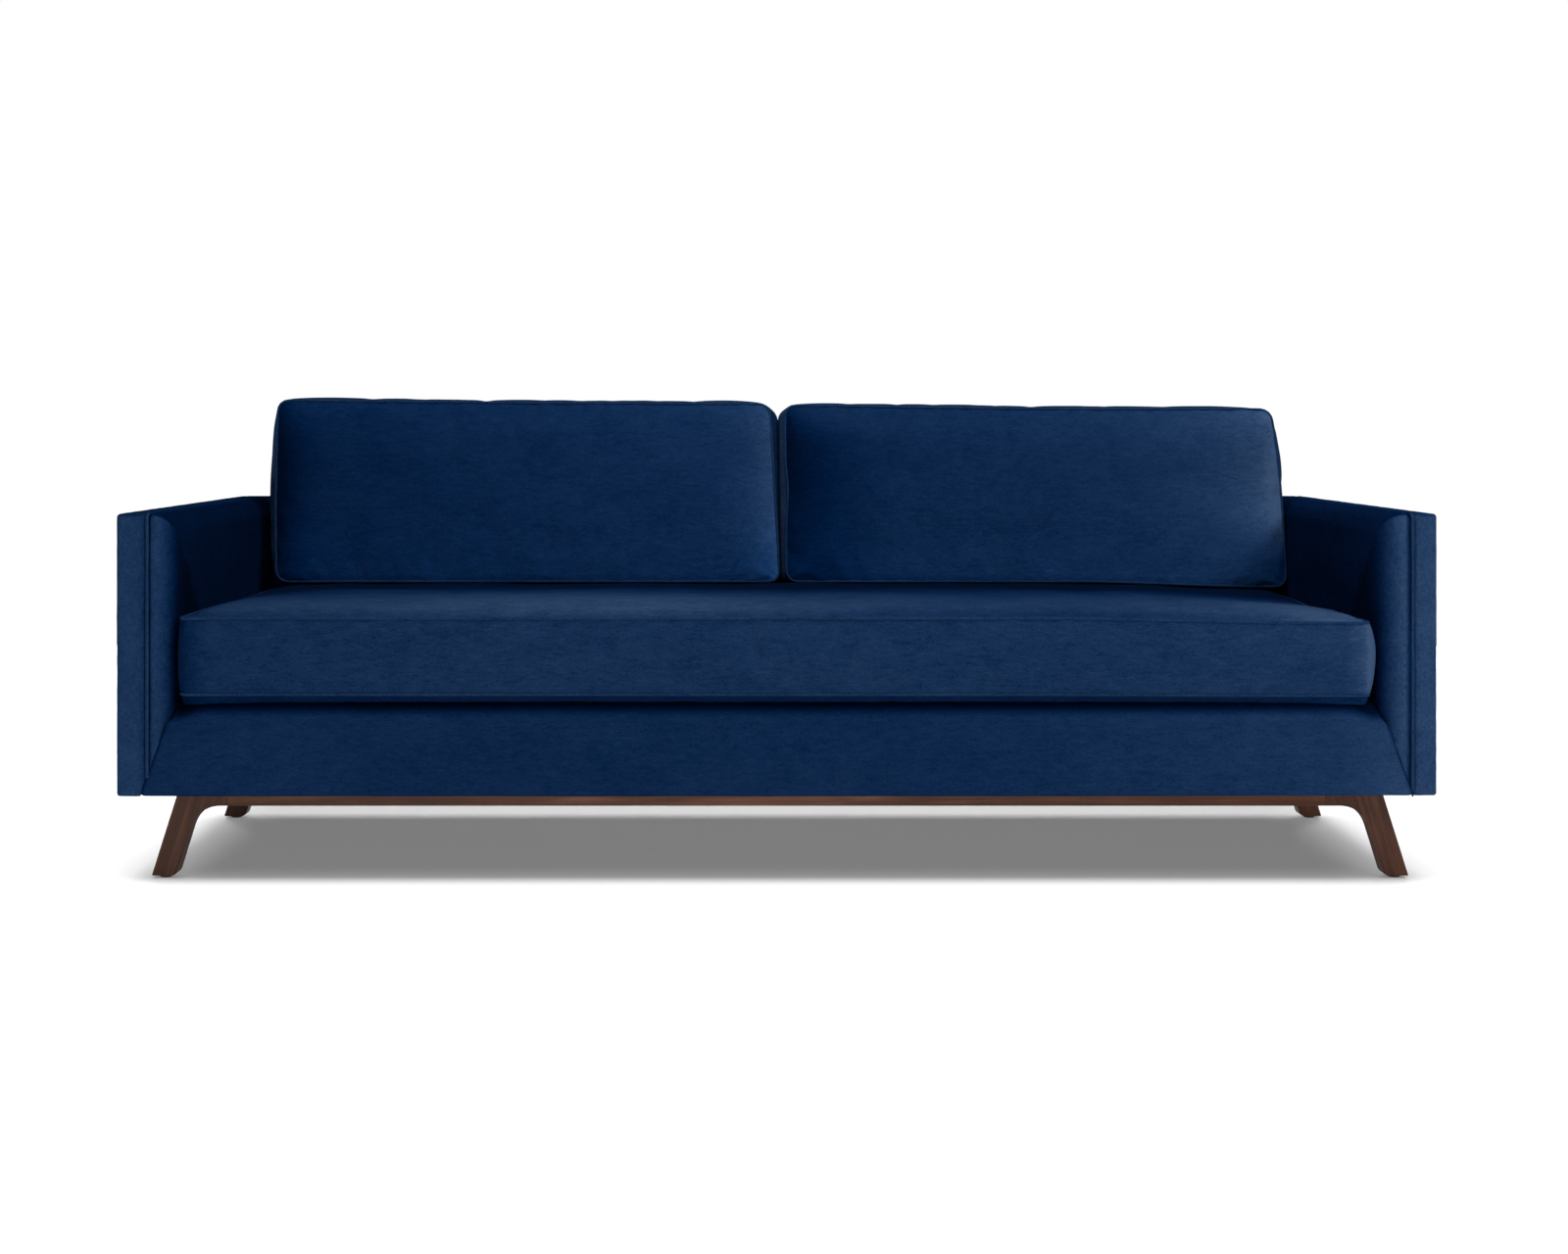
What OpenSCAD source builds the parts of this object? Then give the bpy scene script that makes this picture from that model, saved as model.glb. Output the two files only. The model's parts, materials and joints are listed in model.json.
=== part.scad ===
// Tuxedo sofa: a two-seat upholstered sofa whose back frame and arms share one height,
// with one loose bench seat cushion, two loose back cushions and a splayed-leg wooden base.
// Millimetres. X runs along the width, the front faces -Y, Z is up, the origin is on the
// floor under the middle of the sofa. "left" and "right" are as seen from the front.

/* [Overall size] */
// Width over both arms
sofa_w = 2235; // [2000:5:2400]
// Depth from the front face to the back face
sofa_d = 900; // [880:5:940]
// Height of the arms and of the back frame
arm_h = 627; // [600:1:660]
// Height of the upholstered box's underside above the floor
box_z = 153; // [140:1:165]
// Height of the deck that carries the seat cushion
deck_z = 305; // [295:1:315]

/* [Arms and back] */
// Thickness of each arm over its padding
arm_t = 95; // [90:1:110]
// Distance from the outer face of the left arm to the welt that edges its flat band
left_welt = 50; // [40:1:52]
// Distance from the outer face of the right arm to the welt that edges its flat band
right_welt = 42; // [40:1:52]
// Radius of the padded inner edge of the arms
arm_round = 38; // [20:1:38]
// Lean of the inside back, in degrees
back_lean = 7; // [5:1:9]

/* [Cushions] */
// Height of the seat cushion at its crown
seat_cushion_h = 154; // [140:1:156]
// Thickness of the back cushions at their crown
back_cushion_t = 176; // [150:1:180]
// Height of the left back cushion's top above the floor
left_back_top = 830; // [780:1:840]
// Height of the right back cushion's top above the floor
right_back_top = 820; // [780:1:840]
// Radius of the cord in every welt
welt_r = 3.5; // [2.5:0.1:3.5]

/* [Wooden base] */
// Height of the base rails
rail_h = 29; // [26:1:36]
// Thickness of the base rails and legs
rail_t = 32; // [28:1:36]
// Splay of the legs to the side, in degrees
leg_splay = 17.3; // [8:0.1:20]
// Width of each leg, measured level
leg_w = 41.5; // [36:0.5:46]
// Radius that blends the leg into the rail
leg_fillet = 52; // [16:1:56]
// How far both front legs are set over to the right
front_leg_set = 6.5; // [-8:0.5:8]
// How much farther out each rear leg stands
rear_leg_spread = 5.5; // [-8:0.5:8]

/* [Seat springs] */
// Number of sinuous springs
spring_count = 12; // [8:1:14]
// Distance between neighbouring springs
spring_pitch = 160; // [120:5:160]
// Number of cross runs in each spring
spring_runs = 25; // [17:2:27]

/* [Hidden] */

velvet = "#1b3556";
walnut = "#55403a";
pine = "#d2b183";
plywood = "#c49a66";
foam = "#efe6c4";
batting = "#f4f2ec";
steel = "#8f9499";
dark_cloth = "#26262a";

hw = sofa_w / 2;            // half width
F = -sofa_d / 2;            // front plane
B = sofa_d / 2;             // back plane
ix = hw - arm_t;            // inner face of each arm
zb = box_z;                 // underside of the box
zf = zb + 1;                // underside of the frame, above the dust cover
zr = deck_z - 51;           // top of the seat rails
zd = deck_z;                // top of the deck
zt = arm_h;                 // top of arms and back
zp = arm_h - 18;            // top of the posts, under the top padding
rail_z = zb - rail_h;       // underside of the base rails
foot_z = 4.4;               // underside of the wooden feet, above their glides
fy = F + 50;                // front face of the front base rail and front legs
ry = B - 290;               // front face of the rear base rail and rear legs
head_x = hw - 177.5;        // where the legs' heads meet the base rails
leg_x = hw - 86.9;          // outer face of the legs at the top
foot_x = leg_x + (zb - foot_z) * tan(leg_splay);
spring_f = F + 26;          // front end bar of the springs
spring_r = B - 174;         // rear end bar of the springs
bolt_x = [-880, -330, 330, 880];
mitre_lo = [41, zb];        // mitre seam between arm and front rail: distance in, height
mitre_hi = [arm_t, zd - 5];

// distance in from the outer side face, turned into x on the right-hand side
function X(t) = hw - t;
// y of the sloped back plane at height z, a distance off in front of the posts
function back_y(z, off) = B - 100 + (z - zd) * tan(back_lean) - off / cos(back_lean);
// height of the mitre seam at a distance in
function mitre_z(t) = mitre_lo[1] + (t - mitre_lo[0]) * (mitre_hi[1] - mitre_lo[1]) / (mitre_hi[0] - mitre_lo[0]);
function unit(v) = v / norm(v);
function rev(l) = [for (i = [len(l) - 1:-1:0]) l[i]];

// one corner of a polygon, rounded to radius r with n straight steps
function corner(a, b, c, r, n) = r <= 0 ? [b] :
    let (u = unit(a - b), w = unit(c - b), ang = acos(u * w), t = r / tan(ang / 2),
         m = b + unit(u + w) * (r / sin(ang / 2)), s = b + u * t - m, e = b + w * t - m,
         sweep = 180 - ang)
    [for (k = [0:n]) m + (sin((1 - k / n) * sweep) * s + sin(k / n * sweep) * e) / sin(sweep)];
function rounded(P, R, n = 5) = [for (i = [0:len(P) - 1])
    each corner(P[(i + len(P) - 1) % len(P)], P[i], P[(i + 1) % len(P)], R[i], n)];
// rounded rectangle, counter-clockwise
function ring2(x0, x1, y0, y1, r, n = 4) =
    [for (c = [[x1 - r, y1 - r, 0], [x0 + r, y1 - r, 90], [x0 + r, y0 + r, 180], [x1 - r, y0 + r, 270]])
        for (k = [0:n]) [c[0] + r * cos(c[2] + 90 * k / n), c[1] + r * sin(c[2] + 90 * k / n)]];
// outline of a line drawn with a pen of half width h
function normals(p) = [for (i = [0:len(p) - 1])
    let (a = i == 0 ? p[0] : p[i - 1], b = i == len(p) - 1 ? p[i] : p[i + 1], d = unit(b - a)) [-d[1], d[0]]];
function stroke(p, h) = let (n = normals(p))
    concat([for (i = [0:len(p) - 1]) p[i] + h * n[i]], rev([for (i = [0:len(p) - 1]) p[i] - h * n[i]]));

module xy(p, z0, z1) translate([0, 0, z0]) linear_extrude(z1 - z0) polygon(p);
module xz(p, y0, y1) translate([0, y1, 0]) rotate([90, 0, 0]) linear_extrude(y1 - y0) polygon(p);
module yz(p, x0, x1) translate([x0, 0, 0]) rotate([90, 0, 90]) linear_extrude(x1 - x0) polygon(p);
module box(x0, x1, y0, y1, z0, z1) translate([x0, y0, z0]) cube([x1 - x0, y1 - y0, z1 - z0]);
module pin_x(x0, x1, y, z, r) translate([x0, y, z]) rotate([0, 90, 0]) cylinder(r = r, h = x1 - x0, $fn = 32);
module pin_y(x, y0, y1, z, r) translate([x, y1, z]) rotate([90, 0, 0]) cylinder(r = r, h = y1 - y0, $fn = 32);
module pin_z(x, y, z0, z1, r) translate([x, y, z0]) cylinder(r = r, h = z1 - z0, $fn = 48);

// closed skin through a stack of rings, each counter-clockwise about the stacking direction
module loft(rings) {
    m = len(rings[0]);
    n = len(rings);
    polyhedron(
        points = [for (r = rings) each r],
        faces = concat(
            [[for (j = [0:m - 1]) j]],
            [for (i = [0:n - 2]) for (j = [0:m - 1]) let (k = (j + 1) % m) [i * m + j, (i + 1) * m + j, (i + 1) * m + k]],
            [for (i = [0:n - 2]) for (j = [0:m - 1]) let (k = (j + 1) % m) [i * m + j, (i + 1) * m + k, i * m + k]],
            [[for (j = [m - 1:-1:0]) (n - 1) * m + j]]));
}
// round cord along a flat path; up is the path's plane normal
function cord_ring(p, t, up, r, n) = let (b = cross(t, up))
    [for (k = [0:n - 1]) p + r * cos(360 * k / n) * up + r * sin(360 * k / n) * b];
module cord_open(path, up, r, n = 8) {
    e = len(path) - 1;
    loft([for (i = [0:e]) cord_ring(path[i], unit(path[min(e, i + 1)] - path[max(0, i - 1)]), up, r, n)]);
}
module cord_loop(path, up, r, n = 8) {
    q = len(path);
    R = [for (i = [0:q - 1]) each cord_ring(path[i], unit(path[(i + 1) % q] - path[(i + q - 1) % q]), up, r, n)];
    polyhedron(points = R, faces = concat(
        [for (i = [0:q - 1]) for (j = [0:n - 1]) let (a = i * n, b = ((i + 1) % q) * n, k = (j + 1) % n) [a + j, b + j, b + k]],
        [for (i = [0:q - 1]) for (j = [0:n - 1]) let (a = i * n, b = ((i + 1) % q) * n, k = (j + 1) % n) [a + j, b + k, a + k]]));
}

// ---------------------------------------------------------------- wooden base
module dowel_holes_x(s, y) for (d = [-8, 8]) pin_x(s * head_x - 21, s * head_x + 21, y + rail_t / 2 + d, rail_z + rail_h / 2, 4);
module dowel_holes_y(s, y) for (d = [-8, 8]) pin_y(s * (head_x + 44) + d, y - 21, y + 21, rail_z + rail_h / 2, 4);
module bolt_holes(y, r, z0, z1) for (x = bolt_x) pin_z(x, y + rail_t / 2, z0, z1, r);

module cross_rail(y) difference() {
    box(-head_x, head_x, y, y + rail_t, rail_z, zb);
    for (s = [-1, 1]) dowel_holes_x(s, y);
    bolt_holes(y, 4.5, rail_z - 1, zb + 1);
    bolt_holes(y, 9.5, rail_z - 1, rail_z + 9);
}
module base_front_rail() color(walnut) cross_rail(fy);
module base_rear_rail() color(walnut) cross_rail(ry);
module base_side_rails() color(walnut) for (s = [-1, 1]) difference() {
    box(s * (head_x + 44) - 16, s * (head_x + 44) + 16, fy + rail_t, ry, rail_z, zb);
    dowel_holes_y(s, fy + rail_t);
    dowel_holes_y(s, ry);
}
// the leg and its head are one piece: splayed outer edge, filleted inner edge
module leg(y, out) difference() {
    xz(rounded([[head_x, zb], [head_x, rail_z],
                [foot_x + out - leg_w - (rail_z - foot_z) * tan(leg_splay), rail_z],
                [foot_x + out - leg_w, foot_z], [foot_x + out, foot_z], [leg_x + out, zb]],
               [0, 0, leg_fillet, 11, 1.5, 1], 10), y, y + rail_t);
    dowel_holes_x(1, y);
    pin_z(foot_x + out - leg_w / 2, y + rail_t / 2, foot_z - 1, foot_z + 16, 1.3);
}
module front_leg(out) difference() { leg(fy, out); dowel_holes_y(1, fy + rail_t); }
module rear_leg(out) difference() { leg(ry, out); dowel_holes_y(1, ry); }
module front_right_leg() color(walnut) front_leg(front_leg_set);
module front_left_leg() color(walnut) mirror([1, 0, 0]) front_leg(-front_leg_set);
module rear_right_leg() color(walnut) rear_leg(rear_leg_spread);
module rear_left_leg() color(walnut) mirror([1, 0, 0]) rear_leg(rear_leg_spread);
module base_dowels() color(pine) for (s = [-1, 1]) {
    for (y = [fy, ry]) for (d = [-8, 8])
        pin_x(s * head_x - 20, s * head_x + 20, y + rail_t / 2 + d, rail_z + rail_h / 2, 3.95);
    for (y = [fy + rail_t, ry]) for (d = [-8, 8])
        pin_y(s * (head_x + 44) + d, y - 20, y + 20, rail_z + rail_h / 2, 3.95);
}
module leg_glides() color("#3a3a3c") for (s = [-1, 1]) for (y = [fy, ry])
    translate([s * (foot_x - leg_w / 2) + (y == fy ? front_leg_set : s * rear_leg_spread), y + rail_t / 2, 0]) {
        rotate_extrude($fn = 48) polygon([[0, 0], [9.5, 0], [11, 1.5], [11, foot_z], [1.25, foot_z], [1.25, foot_z + 15], [0, foot_z + 15]]);
    }
module base_bolts() color(steel) for (y = [fy, ry]) for (x = bolt_x)
    translate([x, y + rail_t / 2, 0]) rotate_extrude($fn = 32)
        polygon([[2.6, rail_z + 1], [6.5, rail_z + 1], [6.5, rail_z + 9], [4, rail_z + 9], [4, zf + 30], [0, zf + 30], [0, rail_z + 5], [2.6, rail_z + 5]]);
module tee_nuts() color(steel) for (y = [fy, ry]) for (x = bolt_x)
    translate([x, y + rail_t / 2, 0]) rotate_extrude($fn = 32)
        polygon([[4.05, zf + 18], [5, zf + 18], [5, zf + 28], [11, zf + 28], [11, zf + 29.5], [4.05, zf + 29.5]]);

// ---------------------------------------------------------------- seat frame and deck
module front_seat_rail() color(pine) box(-X(48), X(48), F + 12, F + 40, zf, zr);
module rear_seat_rail() color(pine) box(-X(48), X(48), B - 188, B - 160, zf, zr);
module base_stretchers() color(pine) for (y = [fy, ry]) difference() {
    box(-X(48), X(48), y - 10, y + rail_t + 10, zf, zf + 28);
    bolt_holes(y, 4.5, zf - 1, zf + 20);
    bolt_holes(y, 5.1, zf + 17.5, zf + 30);
}
module seat_braces() color(pine) for (s = [-1, 1]) box(s * 357 - 14, s * 357 + 14, F + 40, B - 188, zf + 28, zr - 14);
module corner_blocks() color(pine) for (s = [-1, 1]) {
    xy([[s * X(48), F + 40], [s * (X(48) - 70), F + 40], [s * X(48), F + 110]], zf + 29, zr - 1);
    xy([[s * X(48), B - 188], [s * (X(48) - 70), B - 188], [s * X(48), B - 258]], zf + 29, zr - 1);
}
module arm_bottom_rails() color(pine) for (s = [-1, 1]) box(min(s * X(8), s * X(48)), max(s * X(8), s * X(48)), F + 62, B - 58, zf, zr);
// one sinuous spring: cross runs joined by half-round bends
spring_step = (spring_r - spring_f) / (spring_runs - 1);
spring_half = 25;
function spring_line() = [for (k = [0:spring_runs - 1])
    let (s = k % 2 == 0 ? 1 : -1, y = spring_f + k * spring_step, b = spring_half - spring_step / 2)
    each (k == spring_runs - 1 ? [[-s * b, y], [s * (spring_half - 3), y]] :
        concat(k == 0 ? [[-s * (spring_half - 3), y]] : [[-s * b, y]],
            [for (a = [-90:45:45]) [s * (b + spring_step / 2 * cos(a)), y + spring_step / 2 + spring_step / 2 * sin(a)]]))];
module seat_springs() color(steel) for (i = [0:spring_count - 1])
    translate([(i - (spring_count - 1) / 2) * spring_pitch, 0, 0]) xy(stroke(spring_line(), 2), zr + 2, zr + 6);
function clip(y, s) = [[y - s * 10, zr], [y + s * 9, zr], [y + s * 9, zr + 1.6], [y - s * 8.4, zr + 1.6],
    [y - s * 8.4, zr + 6.4], [y + s * 6, zr + 6.4], [y + s * 6, zr + 8], [y - s * 10, zr + 8]];
module spring_clips() color(steel) for (i = [0:spring_count - 1]) let (x = (i - (spring_count - 1) / 2) * spring_pitch) {
    yz(clip(spring_f, 1), x - 11, x + 11);
    yz(clip(spring_r, -1), x - 11, x + 11);
}
module spring_tie_wires() color(steel) for (y = [-220, -60, 100])
    pin_x(-spring_pitch * (spring_count - 1) / 2 - 30, spring_pitch * (spring_count - 1) / 2 + 30, y, zr + 7.4, 1);
module deck_insulator() color("#9a938a") box(-ix + 1.5, ix - 1.5, F + 64.5, B - 155, zd - 42, zd - 40);
module deck_pad() color(batting) box(-ix + 1.5, ix - 1.5, F + 64.3, B - 155, zd - 39.7, zd - 2.3);
module deck_cover() color(velvet) box(-ix + 0.7, ix - 0.7, F + 65.8, B - 154, zd - 2, zd);

// front rail upholstery, with mitred ends under the arms' fronts
module mitre_ends(y0, y1, z0, gap) for (s = [-1, 1])
    xz([[s * (ix - 1), z0], [s * (X(mitre_lo[0]) - gap - (z0 - zb) * (mitre_hi[0] - mitre_lo[0]) / (mitre_hi[1] - mitre_lo[1])), z0],
        [s * (X(mitre_hi[0]) - gap), mitre_hi[1]], [s * (ix - 1), mitre_hi[1]]], y0, y1);
module front_rail_pad() color(batting) union() {
    yz(rounded([[F + 2.3, zf + 1], [F + 2.3, zd - 2.3], [F + 64, zd - 2.3], [F + 64, zd - 41], [F + 11.8, zd - 41], [F + 11.8, zf + 1]],
               [0, 24, 0, 0, 0, 0]), -ix + 1, ix - 1);
    mitre_ends(F + 2.3, F + 11.8, zf + 1, 0.6);
}
module front_rail_cover() color(velvet) union() {
    yz(concat(corner([F, zb], [F, zd], [F + 65.5, zd], 25, 6), [[F + 65.5, zd], [F + 65.5, zd - 2]],
              rev(corner([F + 2, zb], [F + 2, zd - 2], [F + 65.5, zd - 2], 23, 6)), [[F + 2, zb], [F, zb]]), -ix + 1, ix - 1);
    mitre_ends(F, F + 2, zb, 0.4);
}
module dust_cover() color(dark_cloth) difference() {
    box(-X(5), X(5), F + 5, B - 5, zb, zf);
    for (y = [fy, ry]) bolt_holes(y, 5, zb - 1, zf + 1);
}

// ---------------------------------------------------------------- arms
module arm_front_posts() color(pine) for (s = [-1, 1]) box(min(s * X(8), s * X(48)), max(s * X(8), s * X(48)), F + 12, F + 62, zf, zp);
module arm_rear_posts() color(pine) for (s = [-1, 1]) box(min(s * X(8), s * X(48)), max(s * X(8), s * X(48)), B - 58, B - 8, zf, zp);
module arm_top_rails() color(pine) for (s = [-1, 1]) box(min(s * X(8), s * X(48)), max(s * X(8), s * X(48)), F + 62, B - 58, zp - 22, zp);
module arm_panels() color(plywood) for (s = [-1, 1]) box(min(s * X(48), s * X(51.5)), max(s * X(48), s * X(51.5)), F + 12, B - 60, zr + 2, zp);

// right-hand bodies; the left ones are mirrored
module below_mitre(y0, y1, t1, rise) xz([[X(mitre_lo[0] - 40), zb - 20], [X(mitre_lo[0]), zb - 20], [X(mitre_lo[0]), mitre_lo[1] + rise],
    [X(t1), mitre_z(t1) + rise], [X(t1), zb - 20]], y0, y1);
module inside_body(t0, t1, f, b, z0, z1, r) intersection() {
    xz(rounded([[X(t0), z0], [X(t0), z1], [X(t1), z1], [X(t1), z0]], [0, 0, r, 0]), f - 1, b + 1);
    xy(rounded([[X(t0), f], [X(t1), f], [X(t1), b], [X(t0), b]], [0, r, 0, 0]), z0 - 1, z1 + 1);
}
module arm_inside_pad_right(w) difference() {
    inside_body(w + 3.9, arm_t - 2.3, F + 2.3, B - 54, zb + 2, zt - 2.3, arm_round - 2);
    xz([[X(w), zb], [X(w), mitre_z(w) + 1.2], [X(arm_t + 5), mitre_z(arm_t + 5) + 1.2], [X(arm_t + 5), zb]], F - 1, F + 12.2);
    box(X(arm_t + 5), X(w), F + 12, B, zb, zr + 8);
    box(X(53.9), X(w), F + 12, B, zr, zp + 0.2);
}
module arm_inside_cover_right(w) difference() {
    inside_body(w + 3.7, arm_t, F, B - 53.7, zb + 2, zt, arm_round);
    inside_body(w - 10, arm_t - 2, F + 2, B, zb, zt - 2, arm_round - 2);
    xz([[X(w), zb], [X(w), mitre_z(w) + 0.9], [X(arm_t + 5), mitre_z(arm_t + 5) + 0.9], [X(arm_t + 5), zb]], F - 1, F + 12.2);
    box(X(arm_t + 5), X(w), F + 12, B, zb, zr + 8);
}
module outside_body(t0, t1, f, b, z0, z1, r) intersection() {
    xz(rounded([[X(t0), z0], [X(t0), z1], [X(t1), z1], [X(t1), z0]], [0, r, 0, 0]), f - 1, b + 1);
    xy(rounded([[X(t0), f], [X(t1), f], [X(t1), b], [X(t0), b]], [r, 0, 0, 0]), z0 - 1, z1 + 1);
}
module arm_outside_pad_right(w) difference() {
    outside_body(2.3, w - 3.8, F + 2.3, B - 2.3, zf + 1, zt - 2.3, 7);
    box(X(w + 10), X(7.8), F + 11.8, B + 10, zb - 10, zp + 0.2);
    xz([[X(mitre_lo[0] - 0.4), zb - 10], [X(mitre_lo[0] - 0.4), zb], [X(60), mitre_z(60.4)], [X(60), zb - 10]], F - 1, F + 20);
}
module arm_outside_cover_right(w) difference() {
    outside_body(0, w - 3.7, F, B - 2, zb, zt, 9);
    outside_body(2, w + 10, F + 2, B + 10, zb - 10, zt - 2, 7);
    xz([[X(mitre_lo[0] - 0.2), zb - 10], [X(mitre_lo[0] - 0.2), zb], [X(60), mitre_z(60.2)], [X(60), zb - 10]], F - 1, F + 20);
}
module right_arm_inside_pad() color(batting) arm_inside_pad_right(right_welt);
module left_arm_inside_pad() color(batting) mirror([1, 0, 0]) arm_inside_pad_right(left_welt);
module right_arm_outside_pad() color(batting) arm_outside_pad_right(right_welt);
module left_arm_outside_pad() color(batting) mirror([1, 0, 0]) arm_outside_pad_right(left_welt);
module right_arm_inside_cover() color(velvet) arm_inside_cover_right(right_welt);
module left_arm_inside_cover() color(velvet) mirror([1, 0, 0]) arm_inside_cover_right(left_welt);
module right_arm_outside_cover() color(velvet) arm_outside_cover_right(right_welt);
module left_arm_outside_cover() color(velvet) mirror([1, 0, 0]) arm_outside_cover_right(left_welt);
// cord sewn in between the flat outer band and the padded inner panel
module arm_welts() color(velvet) for (s = [-1, 1]) let (w = s < 0 ? left_welt : right_welt, x = s * X(w), yf = F + welt_r, zc = zt - welt_r, r = 12)
    cord_open(concat([[x, yf, mitre_z(w) + 13], [x, yf, (zb + zt) / 2]],
                     [for (a = [0:15:90]) [x, yf + r - r * cos(a), zc - r + r * sin(a)]],
                     [[x, 0, zc], [x, B - 54, zc]]), [1, 0, 0], welt_r);

// ---------------------------------------------------------------- back
module back_top_rail() color(pine) box(-X(48), X(48), B - 52, B - 8, zp - 22, zp);
module back_posts() color(plywood) for (x = [-990, -330, 330, 990])
    yz([[B - 160, zf], [B - 8, zf], [B - 8, zp - 22], [back_y(zp - 22, 0), zp - 22], [back_y(zr, 0), zr], [B - 160, zr]], x - 15, x + 15);
module back_webbing() color("#b39a6d") for (z = [360, 430, 500, 560])
    yz([[back_y(z - 25, 0.3), z - 25], [back_y(z + 25, 0.3), z + 25], [back_y(z + 25, 2.3), z + 25], [back_y(z - 25, 2.3), z - 25]], -1005, 1005);
module back_pad() color(batting) yz(rounded([[back_y(zr + 10, 43.4), zr + 10], [back_y(zt - 2.3, 43.4), zt - 2.3], [B - 54, zt - 2.3], [B - 54, zp + 0.2],
    [back_y(zp + 0.2, 3), zp + 0.2], [back_y(zr + 10, 3), zr + 10]], [0, 26, 0, 0, 0, 0]), -ix + 1.5, ix - 1.5);
module back_inside_cover() color(velvet) let (a = [back_y(zr + 10, 45.66), zr + 10], b = [back_y(zt, 45.66), zt], c = [B - 53.7, zt],
        p = [back_y(zr + 10, 43.66), zr + 10], q = [back_y(zt - 2, 43.66), zt - 2], r = [B - 53.7, zt - 2])
    yz(concat([a], corner(a, b, c, 28, 6), [c, r], rev(corner(p, q, r, 26, 6)), [p]), -ix + 0.7, ix - 0.7);
module back_outside_pad() color(batting) union() {
    yz([[B - 46.2, zp + 0.2], [B - 46.2, zt - 2.3], [B - 2.3, zt - 2.3], [B - 2.3, zf + 1], [B - 7.8, zf + 1], [B - 7.8, zp + 0.2]], -X(left_welt - 3.5), X(right_welt - 3.5));
    box(-X(8), -X(left_welt - 3.5), B - 7.8, B - 2.3, zf + 1, zp);
    box(X(right_welt - 3.5), X(8), B - 7.8, B - 2.3, zf + 1, zp);
}
module back_outside_cover() color(velvet) union() {
    xz(rounded([[-hw, zb], [-hw, zt], [hw, zt], [hw, zb]], [0, 9, 9, 0]), B - 2, B);
    box(-X(left_welt - 3.5), X(right_welt - 3.5), B - 46.3, B - 1, zt - 2, zt);
}
module back_welt() color(velvet) pin_x(-X(left_welt - 3.3), X(right_welt - 3.3), B - 50, zt - welt_r, welt_r - 0.05);

// ---------------------------------------------------------------- loose cushions
// rings of a crowned box cushion: [height, inset] from one face to the other, shrunk by e
function crown(h, e) = [[e, 150 + e], [6.4 + e, 12.5 + e * 0.6], [18.9 + e * 0.6, e], [h - 19.9 - e * 0.6, e], [h - 7.4 - e, 12.5 + e * 0.6], [h - e, 150 + e]];

seat_x = ix - 2;
seat_y0 = F;
seat_y1 = B - 152;
seat_z = zd + 1;
module seat_solid(e) loft([for (c = crown(seat_cushion_h, e))
    [for (p = ring2(-seat_x + c[1], seat_x - c[1], seat_y0 + c[1], seat_y1 - c[1], max(4, 30 - c[1]))) [p[0], p[1], seat_z + c[0]]]]);
seat_zip = seat_z + 74;
module seat_cushion_core() color(foam) seat_solid(2.4);
module seat_cushion_cover() color(velvet) difference() {
    seat_solid(0);
    seat_solid(2);
    box(-820, 820, seat_y1 - 6, seat_y1 + 2, seat_zip - 2, seat_zip + 2);
}
module seat_cushion_welts() color(velvet) for (z = [seat_z + 10.1, seat_z + seat_cushion_h - 11.1])
    cord_loop([for (p = ring2(-seat_x + 3.7, seat_x - 3.7, seat_y0 + 3.7, seat_y1 - 3.7, 26)) [p[0], p[1], z]], [0, 0, 1], min(welt_r, 3.3));
module seat_cushion_zipper() color("#1a1d24") {
    box(-818, 790, seat_y1 - 1.7, seat_y1 - 0.3, seat_zip - 1.7, seat_zip + 1.7);
    box(791, 812, seat_y1 - 1.9, seat_y1 - 0.1, seat_zip - 1.7, seat_zip + 1.7);
}

// back cushions stand on the seat cushion and lean on the inside back
back_z = zd + 1 + seat_cushion_h + 1;
back_front = back_y(back_z, 45.66) - 1.6 - back_cushion_t / cos(back_lean);
back_l = [-ix + 18, 10];
back_r = [13.5, ix - 2];
function lean_pt(x, w, z) = [x, back_front + w / cos(back_lean) + (z - back_z) * tan(back_lean), z];
module back_solid(xs, top, e) loft([for (c = crown(back_cushion_t, e))
    rev([for (p = ring2(xs[0] + c[1], xs[1] - c[1], back_z + c[1], top - c[1], max(4, 32 - c[1]))) lean_pt(p[0], c[0], p[1])])]);
module back_slot(xs, g) let (xm = (xs[0] + xs[1]) / 2, y = back_front + 88 / cos(back_lean))
    box(xm - 400 - g, xm + 400 + g, y - 1.7 - g, y + 1.7 + g, back_z - 2, back_z + 6);
module back_cover(xs, top) difference() {
    back_solid(xs, top, 0);
    back_solid(xs, top, 2);
    back_slot(xs, 0.3);
}
module back_welts(xs, top) for (w = [10.1, back_cushion_t - 11.1])
    cord_loop([for (p = ring2(xs[0] + 3.7, xs[1] - 3.7, back_z + 3.7, top - 3.7, 28)) lean_pt(p[0], w, p[1])],
        [0, -cos(back_lean), sin(back_lean)], min(welt_r, 3.2));
module back_zipper(xs) let (xm = (xs[0] + xs[1]) / 2, y = back_front + 88 / cos(back_lean)) {
    box(xm - 400, xm + 370, y - 1.7, y + 1.7, back_z + 0.3, back_z + 1.7);
    box(xm + 371, xm + 390, y - 1.7, y + 1.7, back_z + 0.1, back_z + 1.9);
}
module left_back_cushion_core() color(foam) back_solid(back_l, left_back_top, 2.4);
module left_back_cushion_cover() color(velvet) back_cover(back_l, left_back_top);
module left_back_cushion_welts() color(velvet) back_welts(back_l, left_back_top);
module left_back_cushion_zipper() color("#1a1d24") back_zipper(back_l);
module right_back_cushion_core() color(foam) back_solid(back_r, right_back_top, 2.4);
module right_back_cushion_cover() color(velvet) back_cover(back_r, right_back_top);
module right_back_cushion_welts() color(velvet) back_welts(back_r, right_back_top);
module right_back_cushion_zipper() color("#1a1d24") back_zipper(back_r);

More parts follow.
